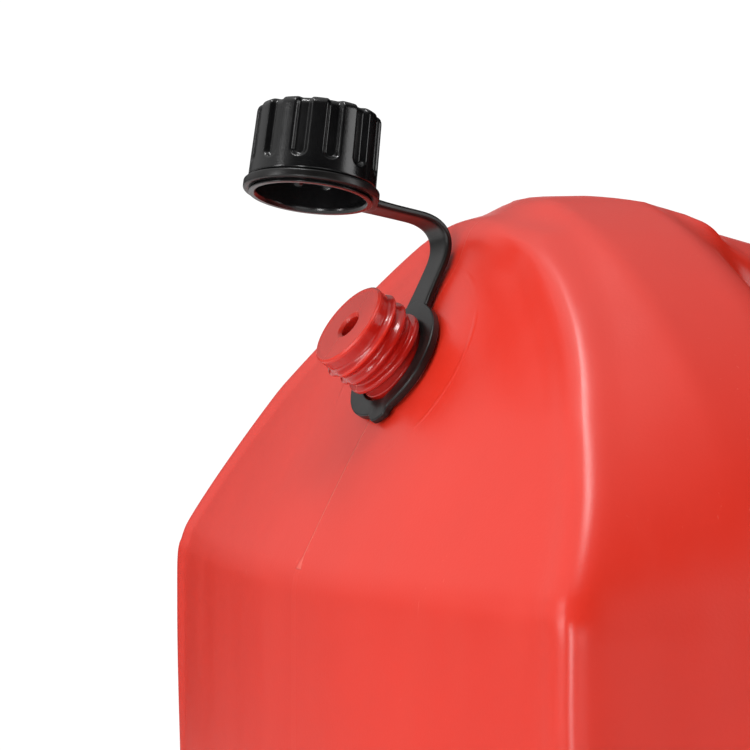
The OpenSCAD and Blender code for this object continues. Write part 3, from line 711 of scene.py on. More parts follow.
def floor_material(pale):
    """Plain matt floor with a barely seen tone."""
    m = Nodes("studio_floor")
    pale = tuple(pale)
    tone = m.blend(m.span(m.noise(3.0), 0.3, 0.7), shade(pale, 0.99), shade(pale, 1.01))
    return m.finish(tone, None, None, Roughness=0.9, Specular_IOR_Level=0.1)


# The moulded shell, from the same rules as the CAD skin

ROUNDS = {
    "front": 26, "filler_top": 14, "grip_front": 30, "grip_back": 60, "hump_front": 50, "hump_back": 20,
    "crease": 4, "ridge": 11, "shoulder": 16,
}
BASE_CUT = 2
GRIP_FRONT_SET_BACK = 8
RIDGE_LIFT = 1.5
HUMP_FRONT_LEAN = 0.25
GRIP_RISE = (12, 18)
GRIP_FADE = (130, 190)
TOP_CROWN_R, BASE_CROWN_R, DECK_CROWN_R = 320, 900, 420
HOLE_WALL_CROWN_R, GRIP_SIDE_CROWN_R, HUMP_FRONT_CROWN_R = 400, 200, 360
HOLE_SQUARENESS, ARCH_FOOT, ARCH_CROWN, DECK_SOFTNESS = 3.4, 1.65, 1.65, 6
EDGE_SHARPNESS, GRIP_SOFTNESS = (26, 28, 26, 26), 5
SPRING_BELOW, FRONT_SPRING_BELOW, FRONT_ARCH_RISE = 5, 2, 7
GRIP_ROUND_SHARE = 0.55  # rounding of the grip's edges, as a share of its thickness
LEAST_WALL = 4
RIM_W, RIM_H, RIM_FADE = 10, 1.5, (120, 190)  # the raised rim, and the heights between which it fades in
RIM_ABOVE_RIDGE, RIM_BELOW_SHOULDER = 22, 45  # degrees of bearing that the rim runs on beyond the panel
RECESS_INSET, RECESS_CORNER, RECESS_SLOPE, FLOOR_TOUCH = 20, 24, 3.5, 0.02
SECTION_STEP, SECTION_TURN = 2.2, math.radians(5)  # spacing of the sections along the outline
SECTION_HALF, INNER_SHARE, OUTER_SHARE, EDGE_GATHER = 104, 0.3, 0.35, 1.5  # points of half a section
EDGE_SAMPLES, EDGE_LIMITS, CALM_RUN = 241, (0.45, 0.55), 9


def tank_corners(t):
    """Named corners of the mid-plane outline, front foot first, as (x, z, rounding)."""
    back, front = -t["body_l"] / 2, t["body_l"] / 2
    top = t["shoulder_z"] + t["hump_h"]
    grip = top - t["grip_drop"]
    lean, tilt = t["panel_lean"], t["filler_tilt"]
    ridge = np.array((back + t["ridge_h"] * math.tan(lean), t["shoulder_z"] + t["ridge_h"]))
    half = t["ridge_h"] / math.cos(lean) / 2
    middle = (np.array((back, t["shoulder_z"])) + ridge) / 2
    ridge = ridge + RIDGE_LIFT * np.array((math.tan(lean), 1))
    middle = middle + 2 * t["panel_bow"] * np.array((-math.cos(lean), math.sin(lean)))
    hump = back + t["hump_back_run"]
    return {
        "foot_front": (front, -BASE_CUT, t["base_edge_r"]),
        "front": (front, front_z(t), ROUNDS["front"]),
        "filler_top": (
            front - t["filler_slope_l"] * math.cos(tilt),
            front_z(t) + t["filler_slope_l"] * math.sin(tilt),
            ROUNDS["filler_top"],
        ),
        "grip_front": (t["hole_x"] + t["hole_l"] / 2 - GRIP_FRONT_SET_BACK, grip, ROUNDS["grip_front"]),
        "grip_back": (hump + t["hump_flat"] + t["hump_fall"], grip, ROUNDS["grip_back"]),
        "crease": (hump + t["hump_flat"] + t["crease_run"], top - t["crease_drop"], ROUNDS["crease"]),
        "hump_front": (hump + t["hump_flat"], top, ROUNDS["hump_front"]),
        "hump_back": (hump, top, ROUNDS["hump_back"]),
        "ridge": (ridge[0], ridge[1], ROUNDS["ridge"]),
        "panel": (middle[0], middle[1], 0.8 * half * half / (2 * t["panel_bow"])),
        "shoulder": (back, t["shoulder_z"], ROUNDS["shoulder"]),
        "foot_back": (back, -BASE_CUT, t["base_edge_r"]),
    }


def tank_outline(corners):
    """Closed run of outline points with rounded corners and divided straights."""
    corners = list(corners.values())
    n = len(corners)
    arcs = []
    for k in range(n):
        a, b, c = (np.array(corners[(k + d) % n][:2]) for d in (-1, 0, 1))
        rounding = corners[k][2]
        arc = corner_arc(a, b, c, rounding)
        sweep = abs(arc[-1])
        steps = max(math.ceil(sweep * rounding / SECTION_STEP), math.ceil(sweep / SECTION_TURN))
        arcs.append(arc_points(*arc, steps))
    points = []
    for k in range(n):
        points += arcs[k]
        p, q = arcs[k][-1], arcs[(k + 1) % n][0]
        steps = math.ceil(np.linalg.norm(q - p) / SECTION_STEP)
        points += [p + (q - p) * s / steps for s in range(1, steps)]
    return np.array(points)


class Skin:
    """Half widths of the moulded skin, along rays from the middle of the hand hole to the outline."""

    def __init__(self, t):
        self.t = t
        self.corners = tank_corners(t)
        self.back, self.front = -t["body_l"] / 2, t["body_l"] / 2
        self.top = t["shoulder_z"] + t["hump_h"]
        grip = self.top - t["grip_drop"]
        self.hole = np.array((t["hole_x"], grip - t["grip_t"] - t["hole_h"] / 2))
        self.grip_round_r = GRIP_ROUND_SHARE * t["grip_t"]
        self.outline = tank_outline(self.corners)
        run = self.outline - self.hole
        self.r_out = np.linalg.norm(run, axis=1)[:, None]
        self.way = run / self.r_out
        self.bearing = np.degrees(np.arctan2(run[:, 1], run[:, 0]))[:, None] % 360
        c, s = np.abs(self.way[:, :1]), np.abs(self.way[:, 1:])
        self.r_in = (
            (c / (t["hole_l"] / 2)) ** HOLE_SQUARENESS + (s / (t["hole_h"] / 2)) ** HOLE_SQUARENESS
        ) ** (-1 / HOLE_SQUARENESS)
        self.turn = {
            name: math.degrees(math.atan2(z - self.hole[1], x - self.hole[0])) % 360
            for name, (x, z, _) in self.corners.items()
        }

    def crowns(self, a):
        """Bulge radii of the outside and of the wall round the hand hole, by bearing."""
        t, b = self.t, self.turn
        end, panel, ridge = t["end_crown_r"], t["panel_crown_r"], t["ridge_crown_r"]
        outer = np.interp(a, [
            b["front"] - 360, b["filler_top"], b["grip_front"], b["hump_back"], b["ridge"], b["panel"], b["shoulder"],
            b["shoulder"] + 20, b["front"] - 20, b["front"], b["filler_top"] + 360
        ], [end, ridge, TOP_CROWN_R, TOP_CROWN_R, ridge, panel, end, BASE_CROWN_R, BASE_CROWN_R, end, ridge])
        inner = np.interp(a, [0, b["filler_top"], b["hump_front"] + 6, 180, 225, 315, 360], [
            HOLE_WALL_CROWN_R, GRIP_SIDE_CROWN_R, HUMP_FRONT_CROWN_R, HOLE_WALL_CROWN_R, DECK_CROWN_R, DECK_CROWN_R,
            HOLE_WALL_CROWN_R
        ])
        return outer, inner

    def arch(self, x, z):
        """Half width under the arched hump at the back, or the lower deck at the filler."""
        t, c = self.t, self.corners
        ridge_x, ridge_z = c["ridge"][:2]
        hump_x = c["hump_back"][0]
        slope = (self.top - ridge_z) / (hump_x - ridge_x)
        crest = np.interp(x, [
            self.back, ridge_x, hump_x, c["hump_front"][0], c["crease"][0], c["grip_back"][0]
        ], [
            ridge_z + slope * (self.back - ridge_x), ridge_z, self.top, self.top, c["crease"][1], c["grip_back"][1]
        ])

        def share(spring, top):
            rise = (np.maximum(0, z - spring) / np.maximum(1, top - spring)) ** ARCH_FOOT
            return np.maximum(0.0001, 1 - rise) ** (1 / ARCH_CROWN)

        half = t["body_w"] / 2
        hump = half * share(t["shoulder_z"] - SPRING_BELOW, crest)
        deck = half * share(front_z(t) - FRONT_SPRING_BELOW, c["filler_top"][1] + FRONT_ARCH_RISE)
        deck = (deck ** DECK_SOFTNESS + (t["grip_w"] / 2) ** DECK_SOFTNESS) ** (1 / DECK_SOFTNESS)
        return np.where(x < self.hole[0], hump, deck)

    def grip_share(self, x, z):
        """0 on the tank, 1 on the grip."""
        t, b, a = self.t, self.turn, self.bearing
        reach = ease(np.interp(
            a, [b["filler_top"] - GRIP_RISE[0], b["grip_front"] + GRIP_RISE[1], *GRIP_FADE], [0, 1, 1, 0]
        ))
        hump_front = self.hole[0] - t["hole_l"] / 2 - HUMP_FRONT_LEAN * (z - self.hole[1] - t["hole_h"] / 2)
        drawn = ease(np.clip((x - hump_front) / t["hump_draw_in"] + 1, 0, 1))
        return reach * np.where(a < 90, 1, drawn)

    def bounds(self, q):
        """Places at shares q along each ray, and what bounds the half width there."""
        t = self.t
        r = self.r_in + (self.r_out - self.r_in) * q
        x, z = self.hole[0] + self.way[:, :1] * r, self.hole[1] + self.way[:, 1:] * r
        g = self.grip_share(x, z)
        outer, inner = self.crowns(self.bearing)

        def mix(a, b):
            return a * (1 - g) + b * g

        def bulge(d, radius):
            return np.sqrt(2 * radius * np.maximum(0, d))

        ends = np.minimum(x - self.back, self.front - x)
        return x, z, [
            mix(self.arch(x, z), t["grip_w"] / 2),
            bulge(r - self.r_in, mix(inner, self.grip_round_r)),
            bulge(self.r_out - r, mix(outer, self.grip_round_r)),
            bulge(ends, t["end_crown_r"]),
        ], mix(np.interp(self.bearing, self.edge_turns(), EDGE_SHARPNESS), GRIP_SOFTNESS)

    def edge_turns(self):
        b = self.turn
        return [b["hump_back"], b["ridge"], b["shoulder"] - 8, b["shoulder"] + 12]

    def edges(self):
        """Shares along each ray at which the side begins and ends."""
        q = np.repeat(((1 - np.cos(np.linspace(0, math.pi, EDGE_SAMPLES))) / 2)[None], len(self.r_in), 0)
        _, _, (width, inner, outer, ends), _ = self.bounds(q)
        run = (self.r_out - self.r_in)[:, 0]
        first = np.argmax(inner >= width, axis=1)
        last = q.shape[1] - 1 - np.argmax((np.minimum(outer, ends) >= width)[:, ::-1], axis=1)
        q_in = np.maximum(LEAST_WALL / run, np.minimum(EDGE_LIMITS[0], q[0][first]))
        q_out = np.minimum(1 - LEAST_WALL / run, np.maximum(EDGE_LIMITS[1], q[0][last]))
        ring, side = np.ones(CALM_RUN) / CALM_RUN, CALM_RUN // 2

        def calm(v):
            return np.convolve(np.concatenate([v[-side:], v, v[:side]]), ring, "valid")

        return calm(q_in)[:, None], calm(q_out)[:, None]

    def rows(self):
        """Grid of points: one closed section per outline point."""
        q_in, q_out = self.edges()
        j = np.arange(SECTION_HALF + 1)[None]
        n_in, n_out = round(INNER_SHARE * SECTION_HALF), round(OUTER_SHARE * SECTION_HALF)
        n_side = SECTION_HALF - n_in - n_out

        def gather(s):
            return 1 - (1 - np.clip(s, 0, 1)) ** EDGE_GATHER

        q = np.where(
            j <= n_in, q_in * gather(j / n_in) ** 2,
            np.where(
                j >= SECTION_HALF - n_out, 1 - (1 - q_out) * gather((SECTION_HALF - j) / n_out) ** 2,
                q_in + (q_out - q_in) * (1 - np.cos(math.pi * np.clip((j - n_in) / n_side, 0, 1))) / 2,
            ),
        )
        x, z, limits, sharpness = self.bounds(q)
        limits = np.stack(limits)
        low = limits.min(0)
        safe = np.maximum(low, 1e-6)
        y = np.where(low < 0.01, 0, low * ((limits / safe).clip(1, 1e6) ** -sharpness).sum(0) ** (-1 / sharpness))
        near = self.rimmed(np.stack([x, y, z], -1), SECTION_HALF - n_out)
        far = (near * np.array((1, -1, 1)))[:, -2:0:-1]
        rows = np.concatenate([near, far], 1)
        return self.foot(rows)

    def rimmed(self, near, edge):
        """The half skin with a soft raised rim along the vent panel's edge, fading out down the back wall."""
        a, b = self.bearing[:, 0], self.turn
        panel = np.where((a > b["ridge"]) & (a < b["shoulder"] + RIM_BELOW_SHOULDER))[0]
        crest = near[panel[np.argmin(a[panel])], edge:]
        line = np.concatenate([crest[::-1], near[panel, edge][np.argsort(a[panel])]])
        line = np.concatenate([line[:-1] + (line[1:] - line[:-1]) * k / 4 for k in range(4)])
        reach = np.where((a > b["ridge"] - RIM_ABOVE_RIDGE) & (a < b["shoulder"] + RIM_BELOW_SHOULDER))[0]
        spots = near[reach]
        gap = np.full(spots.shape[:2], np.inf)
        for part in np.array_split(line, 12):
            gap = np.minimum(gap, np.linalg.norm(spots[:, :, None] - part, axis=-1).min(-1))
        inside = (np.arange(near.shape[1])[None] > edge) & (a[reach] > b["ridge"])[:, None]
        fall = np.where(inside, smooth_step(gap, 1.5, RIM_W), smooth_step(gap, 0, 0.7 * RIM_W))
        rise = RIM_H * (1 - fall) * smooth_step(spots[..., 2], *RIM_FADE)
        raised = near.copy()
        raised[reach, :, 0] += self.way[reach, :1] * rise
        raised[reach, :, 2] += self.way[reach, 1:] * rise
        return raised

    def foot(self, rows):
        """The base cut flat on the floor, with its shallow recess."""
        t = self.t
        x, y, z = rows[..., 0], rows[..., 1], np.maximum(rows[..., 2], 0)
        half_l = t["body_l"] / 2 - t["foot_rim"] - t["base_edge_r"]
        half_w = t["body_w"] / 2 - t["foot_rim"] - RECESS_INSET
        dx, dy = np.abs(x) - half_l + RECESS_CORNER, np.abs(y) - half_w + RECESS_CORNER
        inside = np.hypot(np.maximum(dx, 0), np.maximum(dy, 0)) + np.minimum(np.maximum(dx, dy), 0) - RECESS_CORNER
        recess = t["base_recess"] * smooth_step(-inside, 0, RECESS_SLOPE)
        return np.stack([x, y, np.where(z < FLOOR_TOUCH, recess, z)], -1)


NECK_FOOT, NECK_BORE_L, NECK_STEP = 5, 8, 0.16
THREAD_FULLNESS, SEAM_FLAT, SEAM_FLAT_W = 0.92, 0.55, 0.22
SEAT_FOOT, SEAT_IN = 7, 1.1
FILLER_FOOT, FILLER_BORE_FOOT, FILLER_FLARE = 9, 14, 2.4
FILLER_TURNS, FILLER_PITCH, FILLER_RIDGE_R = 2.6, 6.35, 0.75
FILLER_RIDGE_SUNK, FILLER_RIDGE_DOWN = 0.55, 1.2


def neck_shell(vent, lean):
    """Vent neck: soft moulded thread, flattened along the parting line, a dished end face and the vent hole."""
    root, top, hole = neck_root(vent), vent["neck_h"], vent["hole_r"]
    low = ring_top(vent) + NECK_GAP + (root + vent["thread_depth"]) * math.sin(lean)
    rim = root + 0.62 * vent["thread_depth"]
    bead = root + 0.95 * vent["thread_depth"]
    outer = [
        (root, -NECK_FOOT, 0), (root, low - 0.2, 0.1), (bead, low - 0.1, 0.4), (bead, low + 1.0, 0.5),
        (root + 0.1, low + 1.5, 0.4), (rim, top - 2.6, 0), (rim + 0.05, top - 0.35, 0.25), (rim - 0.4, top, 0.2),
    ]
    face = [(rim - 1.1, top - 0.18, 0.5), (hole + 0.7, top - 0.3, 0.4), (hole, top - 0.8, 0.3)]
    bore = [(hole * 0.9, top - NECK_BORE_L, 0), (0, top - NECK_BORE_L, 0)]
    corners = [(0, -NECK_FOOT, 0), *outer, *face, *bore]
    profile = finer(rounded_profile(corners, closed=False), NECK_STEP, closed=False)

    def thread(angle, r, z):
        turns = (z - low) / vent["thread_pitch"] - angle / FULL_TURN
        crest = (0.5 - 0.5 * np.cos(FULL_TURN * turns)) ** 0.85
        run_out = smooth_step(z, low + 1.5, low + 2.6) * smooth_step(top - 2.3 - z, 0, 1.5)
        flat = 1 - SEAM_FLAT * np.exp(-((np.sin(angle) / SEAM_FLAT_W) ** 2))
        return r + np.where(r > root - 0.01, THREAD_FULLNESS * vent["thread_depth"] * crest * run_out * flat, 0)

    return turned(profile, 180, closed=False, wave=thread)


def seat_shell(vent):
    """Low round pad under the tether ring and the short collar of the neck that the ring turns on."""
    root, high = neck_root(vent), ring_top(vent)
    r = root + vent["ring_w"] - SEAT_IN
    profile = rounded_profile([
        (0, -SEAT_FOOT, 0), (r + 0.3, -SEAT_FOOT, 0), (r, 0, 0.4), (root, 0, 0.3), (root, high, 0.4),
        (0, high + 0.3, 0),
    ], closed=False)
    return turned(profile, 128, closed=False)


def filler_shell(spout):
    """Filler neck with its bore and rounded lip."""
    r, wall, h = spout["filler_r"], spout["filler_wall"], spout["filler_h"]
    profile = rounded_profile([
        (r + FILLER_FLARE, -FILLER_FOOT, 0), (r, FILLER_FLARE, 2.0), (r, h, 0.8), (r - wall, h, 0.8),
        (r - wall, -FILLER_BORE_FOOT, 0), (r, -FILLER_BORE_FOOT, 0),
    ])
    return turned(finer(profile, 1.0), 160)


class CAN_OT_shell(bpy.types.Operator):
    """Builds the moulded shell with its vent neck and threaded filler neck"""

    bl_idname = "can.shell"
    bl_label = "Moulded shell"

    def execute(self, context):
        scene = context.scene
        t, v, s = sizes(scene.can_tank), sizes(scene.can_vent), sizes(scene.can_spout)
        neck, filler = vent_frame(t, v), filler_frame(t)
        red = can_material(scene.can_finishes.can_red, neck)
        rise = FILLER_TURNS * FILLER_PITCH
        ridge = grown(thread_tree(), {
            "Radius": s["filler_r"] - FILLER_RIDGE_SUNK, "Turns": FILLER_TURNS, "Rise": rise,
            "Ridge Radius": FILLER_RIDGE_R, "Material": red,
        })
        ridge_foot = filler @ Matrix.Translation((0, 0, s["filler_h"] - rise - FILLER_RIDGE_DOWN))
        mesh = solid([surface(Skin(t).rows(), closed_rows=True)])
        for shell, place in (
            (neck_shell(v, seat_elevation(t, v)[1]), neck), (seat_shell(v), seat_frame(t, v)),
            (filler_shell(s), filler), (shells(ridge), ridge_foot),
        ):
            mesh = joined(mesh, solid([shell], place))
        piece("can_shell", mesh, red, "can", "can", "can_body")
        return {"FINISHED"}


# The vent tether and cap

BEND_R, STRAP_HANDLE = 8.4, 21.5  # the strap is the mean of an arc of this radius and a curve with these handles
STRAP_IN_LUG, STRAP_CALM = (-2.6, -0.3, 6), 6
STRAP_SIDES, STRAP_END_RUN, STRAP_DISH = 48, 3.2, 0.12
TAB_AT, TAB_L, TAB_TURN, TAB_NICK = math.pi + math.radians(14), 1.7, 0.205, 0.07
RING_TRIM, RING_TRIM_TURN, RING_EDGE_R = 0.6, 0.9, 0.4
CAP_RING_W = 1.5
CAP_TAPER, CAP_GROOVE_SIDES = 0.4, 28
CAP_TURNS, CAP_RIDGE_R, CAP_RIDGE_SUNK, CAP_RIDGE_Z = 2.4, 0.5, 0.1, 3.6
LINER_T, LINER_GAP = 1.2, 0.1


def ring_reach(tank, vent):
    """Inner and outer radius of the neck ring and of the cap ring."""
    lean = seat_elevation(tank, vent)[1]
    neck_in = neck_root(vent) + CLEARANCE + (ring_top(vent) + NECK_GAP) * math.sin(lean)
    cap_in = vent["cap_r"] - CAP_SEAT_IN + CLEARANCE
    return neck_in, neck_in + vent["ring_w"], cap_in, cap_in + CAP_RING_W


def flat_ring(r_in, outline, low, thickness, rounding, sides=256):
    """A flat ring whose outer edge follows outline(angle); thickness may vary with the angle."""
    angle = around(sides)
    outer, height, still = outline(angle), thickness(angle), 0 * angle
    soft = rounding * 0.6
    arc = [(math.sin(e), math.cos(e)) for e in np.linspace(0, math.pi / 2, 6)]
    rows = [(outer - rounding + rounding * a, low + rounding - rounding * b) for a, b in arc]
    rows += [(outer - rounding + rounding * b, low + height - rounding + rounding * a) for a, b in arc]
    rows += [(r_in + soft - soft * a, low + height - soft + soft * b) for a, b in arc]
    rows += [(r_in + soft - soft * b, low + soft - soft * a) for a, b in arc]
    grid = np.stack([np.stack([r * np.cos(angle), r * np.sin(angle), z + still], -1) for r, z in rows])
    return surface(grid, closed_rows=True)


def bump_at(angle, centre, width):
    """A round swell of 1 at the centre angle."""
    return np.exp(-((wrapped(angle - centre) / width) ** 2))


def strap_path(tank, vent, steps=72):
    """Points and directions of the strap in the tether's plane, from inside one lug to inside the other."""
    _, neck_out, _, cap_out = ring_reach(tank, vent)
    reach, height, swing = vent["bend_reach"], vent["bend_h"], vent["cap_open"]
    cap_z = cap_lift(tank, vent) + CAP_RING_Z + vent["ring_t"] / 2

    def swung(x, z):
        c, s = math.cos(swing), math.sin(swing)
        return np.array((reach + (x - reach) * c + (z - height) * s, height + (z - height) * c - (x - reach) * s))

    a = np.array((neck_out + LUG, CLEARANCE + vent["ring_t"] / 2))
    d = swung(cap_out + LUG, cap_z)
    way = np.array((math.cos(swing), -math.sin(swing)))
    t = (d[1] - a[1]) / math.sin(swing)
    corner = d + t * way
    sweep = math.pi - swing
    reach_in = BEND_R * math.tan(sweep / 2)
    middle = corner + np.array((-reach_in, BEND_R))
    turn = np.linspace(0, sweep, steps // 2)[:, None]
    arc = middle + BEND_R * np.concatenate([np.sin(turn), -np.cos(turn)], 1)
    u = np.linspace(0, 1, steps // 4, endpoint=False)[:, None]
    run_in, run_out = a + (arc[0] - a) * u, d + (arc[-1] - d) * u
    head = np.linspace(*STRAP_IN_LUG)[:, None]
    bowed = np.concatenate([run_in, arc, run_out[::-1]])
    share = np.linspace(0, 1, len(bowed))[:, None]
    b, c = a + STRAP_HANDLE * np.array((1, 0)), d + STRAP_HANDLE * way
    cubic = (1 - share) ** 3 * a + 3 * share * (1 - share) ** 2 * b + 3 * share**2 * (1 - share) * c + share**3 * d
    points = np.concatenate([a + head * np.array((1, 0)), (bowed + cubic) / 2, d + head[::-1] * way])
    for _ in range(STRAP_CALM):
        points[1:-1] = (points[:-2] + 2 * points[1:-1] + points[2:]) / 4
    heading = np.gradient(points, axis=0)
    return points, heading / np.linalg.norm(heading, axis=1)[:, None]


def strap_shell(tank, vent):
    """Flat band with rounded edges, wider where it joins the rings."""
    points, heading = strap_path(tank, vent)
    along = np.concatenate([[0], np.cumsum(np.linalg.norm(np.diff(points, axis=0), axis=1))])
    ends = np.exp(-along / STRAP_END_RUN) + np.exp(-(along[-1] - along) / STRAP_END_RUN)
    half_w = vent["strap_w"] / 2 * (0.98 + 0.22 * ends)
    half_t = vent["strap_t"] / 2 * (1 + 0.12 * ends)
    turn = around(STRAP_SIDES)
    c, s = np.cos(turn), np.sin(turn)
    across = np.sign(c) * np.abs(c) ** 0.28
    through = np.sign(s) * np.abs(s) ** 0.6
    normal = np.stack([-heading[:, 1], heading[:, 0]], -1)
    groove = 1 - STRAP_DISH * np.exp(-((across / 0.55) ** 4))
    x = points[:, :1] + normal[:, :1] * half_t[:, None] * (through * groove)
    z = points[:, 1:] + normal[:, 1:] * half_t[:, None] * (through * groove)
    y = half_w[:, None] * across
    rows = np.stack([x, y, z], -1)
    vertices, quads = surface(rows)
    n = len(turn)
    caps = [list(range(n))[::-1], list(range(len(vertices) - n, len(vertices)))]
    return vertices, quads.tolist() + caps


class CAN_OT_tether(bpy.types.Operator):
    """Builds the neck ring with its pull tab, the bent strap and the ring that holds the cap"""

    bl_idname = "can.tether"
    bl_label = "Vent tether"

    def execute(self, context):
        scene = context.scene
        t, v = sizes(scene.can_tank), sizes(scene.can_vent)
        black = black_material("tether_polyethylene", scene.can_finishes.strap_black, 0.28, 0.40, 0.01, gloss=0.38)
        neck_in, neck_out, cap_in, cap_out = ring_reach(t, v)
        tether, cap = tether_frame(t, v), cap_frame(t, v)

        def tabbed(angle):
            off = wrapped(angle - TAB_AT)
            tab = np.exp(-((off / TAB_TURN) ** 6)) * (1 - TAB_NICK * np.exp(-(((off - 0.06) / 0.05) ** 2)))
            trim = RING_TRIM * bump_at(angle, TAB_AT, RING_TRIM_TURN)
            return neck_out - trim + TAB_L * tab + LUG * bump_at(angle, 0, 0.24)

        def thinned(angle):
            return v["ring_t"] * (1 - 0.2 * bump_at(angle, TAB_AT, 0.3) ** 2)

        def flared(angle):
            return cap_out + LUG * bump_at(angle, 0, 0.22)

        def even(angle):
            return v["ring_t"] + 0 * angle

        ring = flat_ring(neck_in, tabbed, CLEARANCE, thinned, RING_EDGE_R)
        piece("vent_ring_with_tab", solid([ring], tether), black, "trim", "tether", "vent_ring")
        holder = flat_ring(cap_in, flared, CAP_RING_Z, even, RING_EDGE_R)
        piece("vent_cap_holder", solid([holder], cap), black, "trim", "cap_carrier", "vent_cap_ring")
        strap = piece("vent_strap_band", solid([strap_shell(t, v)], tether), black, "trim", None, "vent_strap")
        points, _ = strap_path(t, v)
        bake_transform(strap)
        return {"FINISHED"}


def cap_shell(vent):
    """Screw cap: beaded rim, ring groove, scooped grip grooves, rounded top edge and hollow inside."""
    r, h, bore = vent["cap_r"], vent["cap_h"], vent["cap_bore_r"]
    seat = r - CAP_SEAT_IN
    ledge = CAP_RING_Z + vent["ring_t"] + CLEARANCE
    bead = seat + CLEARANCE + 0.35
    top_r = r - CAP_TAPER
    outside = [
        (bore + 0.4, 0, 0.15), (bead - 0.1, 0, 0.2), (bead, 0.25, 0.1), (seat, 0.45, 0.05), (seat, ledge, 0.1),
        (r, ledge, 0.4), (top_r, h - 0.1, 1.5), (top_r - 3.2, h, 0.6), (0, h - 0.25, 0),
    ]
    inside = [(0, h - CAP_TOP_T, 0), (bore, h - CAP_TOP_T, 0.5), (bore, 0.6, 0.3)]
    profile = finer(rounded_profile([inside[-1], *outside], closed=False), 0.22, closed=False)
    lining = finer(rounded_profile(inside, closed=False), 0.6, closed=False)
    whole = np.concatenate([profile, lining[:-1]])
    pitch = FULL_TURN / vent["grooves"]
    g_w, g_d = vent["groove_w"], vent["groove_depth"]
    scoop_z = vent["band_h"] + g_w

    def grooved(angle, radius, z):
        off = (angle / pitch) % 1 - 0.5
        reach = np.hypot(r * np.sin(off * pitch), np.maximum(0, scoop_z - z) * 1.1)
        deep = g_d * (1 - smooth_step(reach, 0.5 * g_w, g_w))
        wall = smooth_step(radius, top_r - 3.4, top_r - 1.6) * (z > ledge + 0.3)
        return radius - deep * wall

    return turned(whole, vent["grooves"] * CAP_GROOVE_SIDES, wave=grooved)


class CAN_OT_vent_cap(bpy.types.Operator):
    """Builds the grooved vent cap with its inner thread, and the sealing disc inside it"""

    bl_idname = "can.vent_cap"
    bl_label = "Vent cap"

    def execute(self, context):
        scene = context.scene
        t, v = sizes(scene.can_tank), sizes(scene.can_vent)
        black = black_material("cap_polypropylene", scene.can_finishes.cap_black, 0.16, 0.25, 0.012, gloss=0.45)
        seal = black_material("seal_foam", scene.can_finishes.seal_grey, 0.75, 0.9, 0.05, 5200)
        place = cap_frame(t, v)
        ridge = grown(thread_tree(), {
            "Radius": v["cap_bore_r"] - CAP_RIDGE_SUNK, "Turns": CAP_TURNS, "Rise": CAP_TURNS * v["thread_pitch"],
            "Ridge Radius": CAP_RIDGE_R, "Material": black,
        })
        ridge_foot = place @ Matrix.Translation((0, 0, CAP_RIDGE_Z))
        mesh = joined(solid([cap_shell(v)], place), solid([shells(ridge)], ridge_foot))
        piece("vent_screw_cap", mesh, black, "cap", "vent_cap", "vent_cap")
        high, r = v["cap_h"] - CAP_TOP_T, v["cap_bore_r"] - LINER_GAP
        low = high - LINER_T
        disc = rounded_profile([
            (0, low, 0), (r - 4.2, low, 0.2), (r - 3.9, low + 0.25, 0.1), (r - 3.3, low + 0.25, 0.1),
            (r - 3.0, low, 0.2), (r, low, 0.3), (r, high, 0.1), (0, high, 0),
        ], closed=False)
        mesh = solid([turned(disc, 96, closed=False)], place)
        piece("vent_cap_seal", mesh, seal, "liner", "vent_cap", "vent_cap_liner")
        return {"FINISHED"}


# The pour spout

FLANGE_IN, GASKET_IN = 1.2, 1
COLLAR_LOW, RIB_SUNK, RIB_R, RIB_LOW, RIB_HIGH = 3, 0.3, 1.2, 2.6, 3.4
TIP_RIM_W, TIP_GROOVES, TIP_GROOVE_R, TIP_GROOVE_OUT, TIP_GROOVE_Z = 1.2, 10, 1.3, 0.7, 6.8


def spout_heights(s):
    """Heights along the filler axis: gasket, flange, foot, tip shoulder and tip."""
    gasket = s["filler_h"]
    flange = gasket + s["gasket_t"]
    foot = flange + s["flange_t"]
    tip = foot + s["spout_l"]
    return gasket, flange, foot, tip + CLEARANCE + s["cap_wall"] - s["cap_l"], tip


